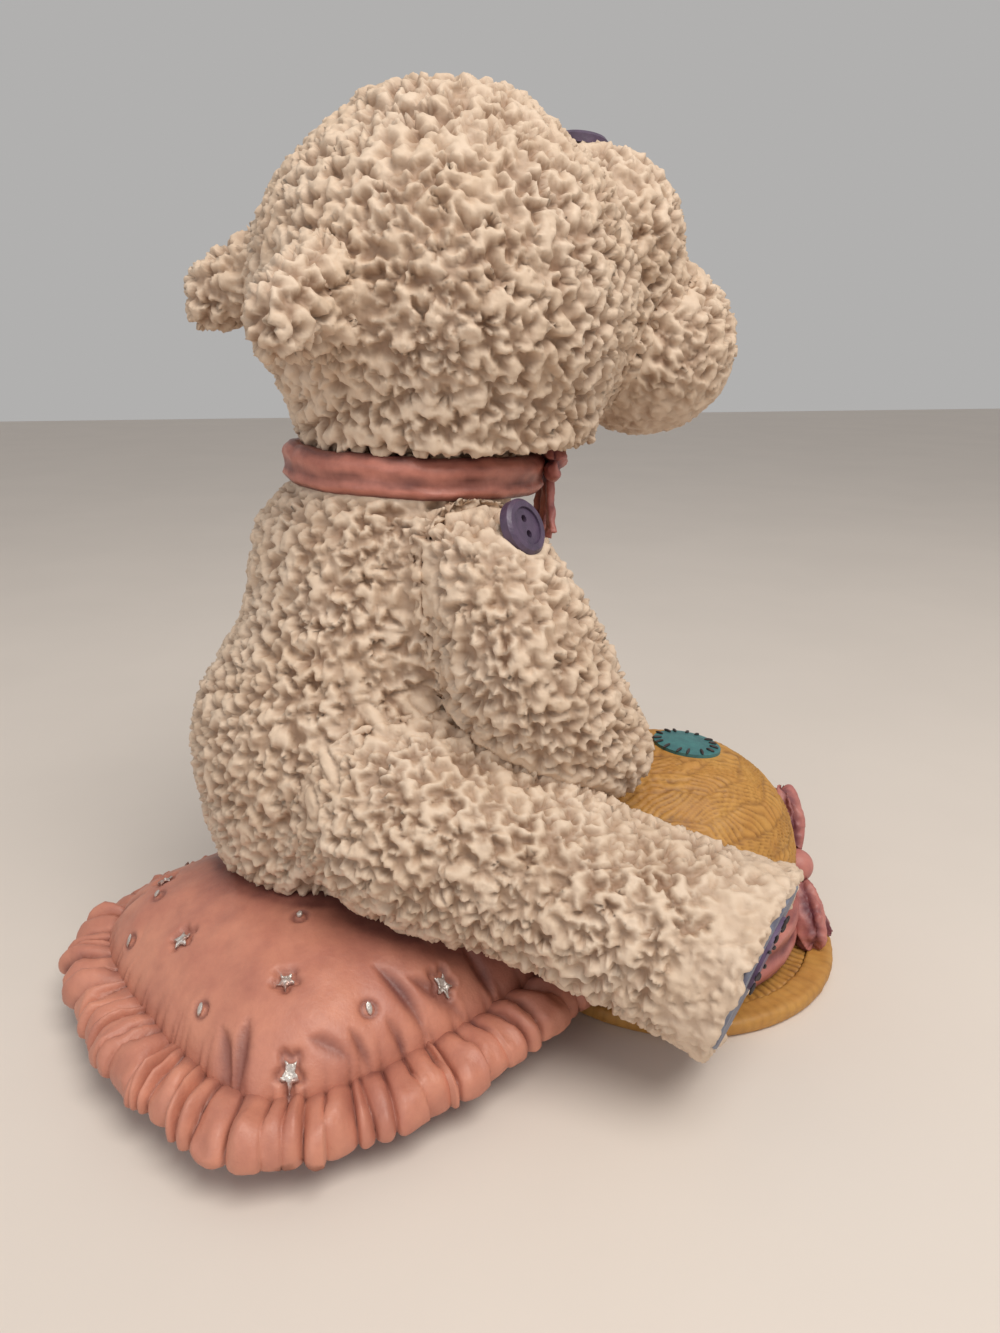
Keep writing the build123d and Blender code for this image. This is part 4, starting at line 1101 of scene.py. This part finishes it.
def makeCrown():
    skin = {"voxel": hat["voxel"], "smoothing": hat["crownSmoothing"]}
    mesh, points, normals = readSkin("hat_crown", skin)
    groove = strawRows(points, hat["axis"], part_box("hat_crown")[1][2])
    still = smoothStep(*hat["patchGaps"], gapTo(points, "hat_patch", 1.0 * mm))
    still = still * (normals[:, 2] > hat["undersideFrom"])
    rough = noiseField(points, hat["crownRoughSize"], 3, 2.5)
    height = hat["crownRise"] - hat["strokeDepth"] * groove + hat["crownRough"] * rough
    moved = points + normals * (height * still)[:, None]
    # Painted shade in the grooves, with a random tone
    wash = groove ** strawShadeAndTone["power"] * strawShadeAndTone["groove"] + strawShadeAndTone["rough"] * rough
    dress("hatCrown", mesh, moved, wash, still, strawPaint, "hat_crown")


def makeBrim(name, node, depth, smooth):
    skin = {"voxel": hat["voxel"], "smoothing": hat["brimSmoothing"]}
    mesh, points, normals = readSkin(node, skin)
    local = points - np.array(hat["brimAxis"])
    around = np.arctan2(local[:, 1], local[:, 0])
    radius = np.hypot(local[:, 0], local[:, 1])
    wander = hat["brimWander"] * noiseField(points, hat["brimWanderSize"], 2, 3.5)
    turns = np.round(2 * math.pi * hat["brimPitchRadius"] / hat["brimPitch"])
    stroke = np.abs(np.sin(0.5 * turns * around + wander)) ** hat["brimPower"]
    rows = hat["brimRowDepth"] * np.abs(np.sin(math.pi * radius / hat["brimRowWidth"]))
    groove = (1 - stroke + rows) * (1 - smooth)
    rough = noiseField(points, hat["brimRoughSize"], 3, 4.5)
    upper = normals[:, 2] > hat["undersideFrom"]
    height = (hat["brimRough"] * rough - depth * groove) * upper
    moved = points + normals * height[:, None]
    # Painted shade in the grooves, with a random tone, a little darker all over
    wash = groove + strawShadeAndTone["brimRough"] * rough + strawShadeAndTone["brim"]
    dress(name, mesh, moved, wash, upper, strawPaint, node)


def makeHatRibbon():
    mesh, points, normals = readSkin("hat_ribbon", hatRibbon)
    sway = noiseField(points, hatRibbon["swaySize"], 2, 5.5)
    turn = 2 * math.pi * points[:, 2] / hatRibbon["foldPitch"]
    fold = np.sin(turn + hatRibbon["sway"] * sway)
    height = hatRibbon["foldHeight"] * (fold - hatRibbon["foldLevel"])
    moved = points + normals * height[:, None]
    # Painted shade between the hat ribbon's folds and lighter on their crests, with a random tone
    wash = hatRibbon["shadeLevel"] - hatRibbon["shadeFolds"] * fold + hatRibbon["toneSway"] * sway
    dress("hatRibbon", mesh, moved, wash, 1, ribbonPaint, "hat_ribbon")


makeCrown()
makeBrim("hatBrim", "hat_brim", hat["brimDepth"], 0.0)
makeBrim("hatRimBand", "hat_rim_band", hat["bandDepth"], hat["bandSmooth"])
makeHatRibbon()
print("hat woven")


# Stitches: short raised strokes around the patches

stitch = {
    "length": 1.5 * mm, "lengths": (0.8, 1.2), "width": 0.42 * mm,
    "lift": 0.12 * mm, "turn": 0.4, "unevenness": 0.2,
}


def stitchRing(name, node, normal, spreadShare, count, seed):
    # Strokes across a round patch's edge, each lying on the surface it crosses
    low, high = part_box(node)
    middle = (Vector(low) + Vector(high)) / 2
    normal = Vector(normal).normalized()
    first = normal.orthogonal().normalized()
    second = normal.cross(first)
    dice = random.Random(seed)
    reach = max(high[axis] - low[axis] for axis in range(3)) / 2 * spreadShare
    bm = bmesh.new()
    for index in range(count):
        shift = dice.uniform(-stitch["unevenness"], stitch["unevenness"])
        angle = 2 * math.pi * (index + shift) / count
        outward = first * math.cos(angle) + second * math.sin(angle)
        above = middle + outward * reach + normal * 2 * mm
        nearest, facing, _, _ = treeOf(node).find_nearest(above)
        made = bmesh.ops.create_icosphere(bm, subdivisions=2, radius=1.0)["verts"]
        half = stitch["width"] / 2
        size = (stitch["length"] / 2 * dice.uniform(*stitch["lengths"]), half, half)
        bmesh.ops.scale(bm, vec=size, verts=made)
        tangent = (outward - facing * outward.dot(facing)).normalized()
        turn = Matrix.Rotation(dice.uniform(-stitch["turn"], stitch["turn"]), 3, facing)
        turned = turn @ tangent
        axes = Matrix((turned, facing.cross(turned), facing)).transposed()
        bmesh.ops.rotate(bm, verts=made, cent=(0, 0, 0), matrix=axes)
        bmesh.ops.translate(bm, verts=made, vec=nearest + facing * stitch["lift"])
    addPiece(name, toMesh(bm, name), stitchPaint)


stitchRing("hatPatchStitches", "hat_patch", (0, 0, 1), 0.92, 15, 41)
for side in ("right", "left"):
    stitchRing("soleStitches" + side, "sole_patch_" + side, soleWay(side), 0.98, 11, 42)
print("stitches sewn")


# Plain finishes for the nodes whose solid shape already is right

for node, material in {
    "pillow_back": undersidePaint, "eyes": eyePaint,
    "nose_stitching": stitchPaint, "mouth_stitching": stitchPaint,
    "sole_pad_right": solePaint, "sole_pad_left": solePaint,
    "sole_patch_right": solePatchPaint, "sole_patch_left": solePatchPaint,
    "shoulder_button_right": buttonPaint, "shoulder_button_left": buttonPaint,
    "forehead_button": buttonPaint, "hat_patch": tealPaint, "bow_knot": ribbonPaint,
    "hat_bow_knot": ribbonPaint,
}.items():
    nodes[node].data.materials.clear()
    nodes[node].data.materials.append(material)
print("node finishes done")


# Floor, lamps and camera

stageSet = {
    "floorColour": (0.73, 0.655, 0.59), "floorMottle": 0.97, "floorSize": 1.2,
    "worldColour": (0.80, 0.79, 0.78), "worldStrength": 0.55,
    "lampTarget": (0, -0.015, 0.05),
}
lamps = {
    "keyLamp": {
        "place": (-0.22, -0.10, 0.42), "size": 0.30, "power": 1.6, "colour": (1.0, 0.96, 0.90),
    },
    "fillLamp": {
        "place": (-0.30, 0.32, 0.22), "size": 0.35, "power": 0.35, "colour": (0.95, 0.97, 1.0),
    },
}
bm = bmesh.new()
bmesh.ops.create_grid(bm, x_segments=1, y_segments=1, size=stageSet["floorSize"])
floorMesh = toMesh(bm, "floor")
floorMesh.materials.append(painted("tablePaint", {
    "colour": stageSet["floorColour"],
    "mottle": tuple(stageSet["floorMottle"] * part for part in stageSet["floorColour"]),
    "mottleSize": 60 * mm, "wash": (0.5, 0.5, 0.5), "toneAndShadeSize": 5 * mm, "toneAndShadeLeast": 0.0,
    "roughness": 0.6, "grain": 0.02, "grainSize": 1 * mm,
}))
floor = bpy.data.objects.new("floor", floorMesh)
addToScene(floor)


for name, values in lamps.items():
    lamp = bpy.data.lights.new(name, "AREA")
    lamp.shape = "DISK"
    lamp.size = values["size"]
    lamp.energy = values["power"]
    lamp.color = values["colour"]
    holder = bpy.data.objects.new(name, lamp)
    holder.location = values["place"]
    way = Vector(stageSet["lampTarget"]) - Vector(values["place"])
    holder.rotation_euler = way.to_track_quat("-Z", "Y").to_euler()
    addToScene(holder)

world = bpy.data.worlds.new("room")
world.use_nodes = True
sky = world.node_tree.nodes["Background"]
setInputs(sky, {
    "Color": (*stageSet["worldColour"], 1), "Strength": stageSet["worldStrength"],
})
bpy.context.scene.world = world

view = {
    "place": (-0.1190, 0.0028, 0.080), "heading": (0.9781, -0.2079),
    "pitch": math.radians(18.0), "lens": 26.06, "sensor": 36.0, "clipStart": 0.005,
}
cameraData = bpy.data.cameras.new("camera")
cameraData.lens = view["lens"]
cameraData.sensor_width = view["sensor"]
cameraData.clip_start = view["clipStart"]
camera = bpy.data.objects.new("camera", cameraData)
level = math.cos(view["pitch"])
aim = Vector((view["heading"][0] * level, view["heading"][1] * level, -math.sin(view["pitch"])))
camera.location = view["place"]
camera.rotation_euler = aim.to_track_quat("-Z", "Y").to_euler()
addToScene(camera)
bpy.context.scene.camera = camera
bpy.context.scene.view_settings.view_transform = "Standard"
print("stage set")
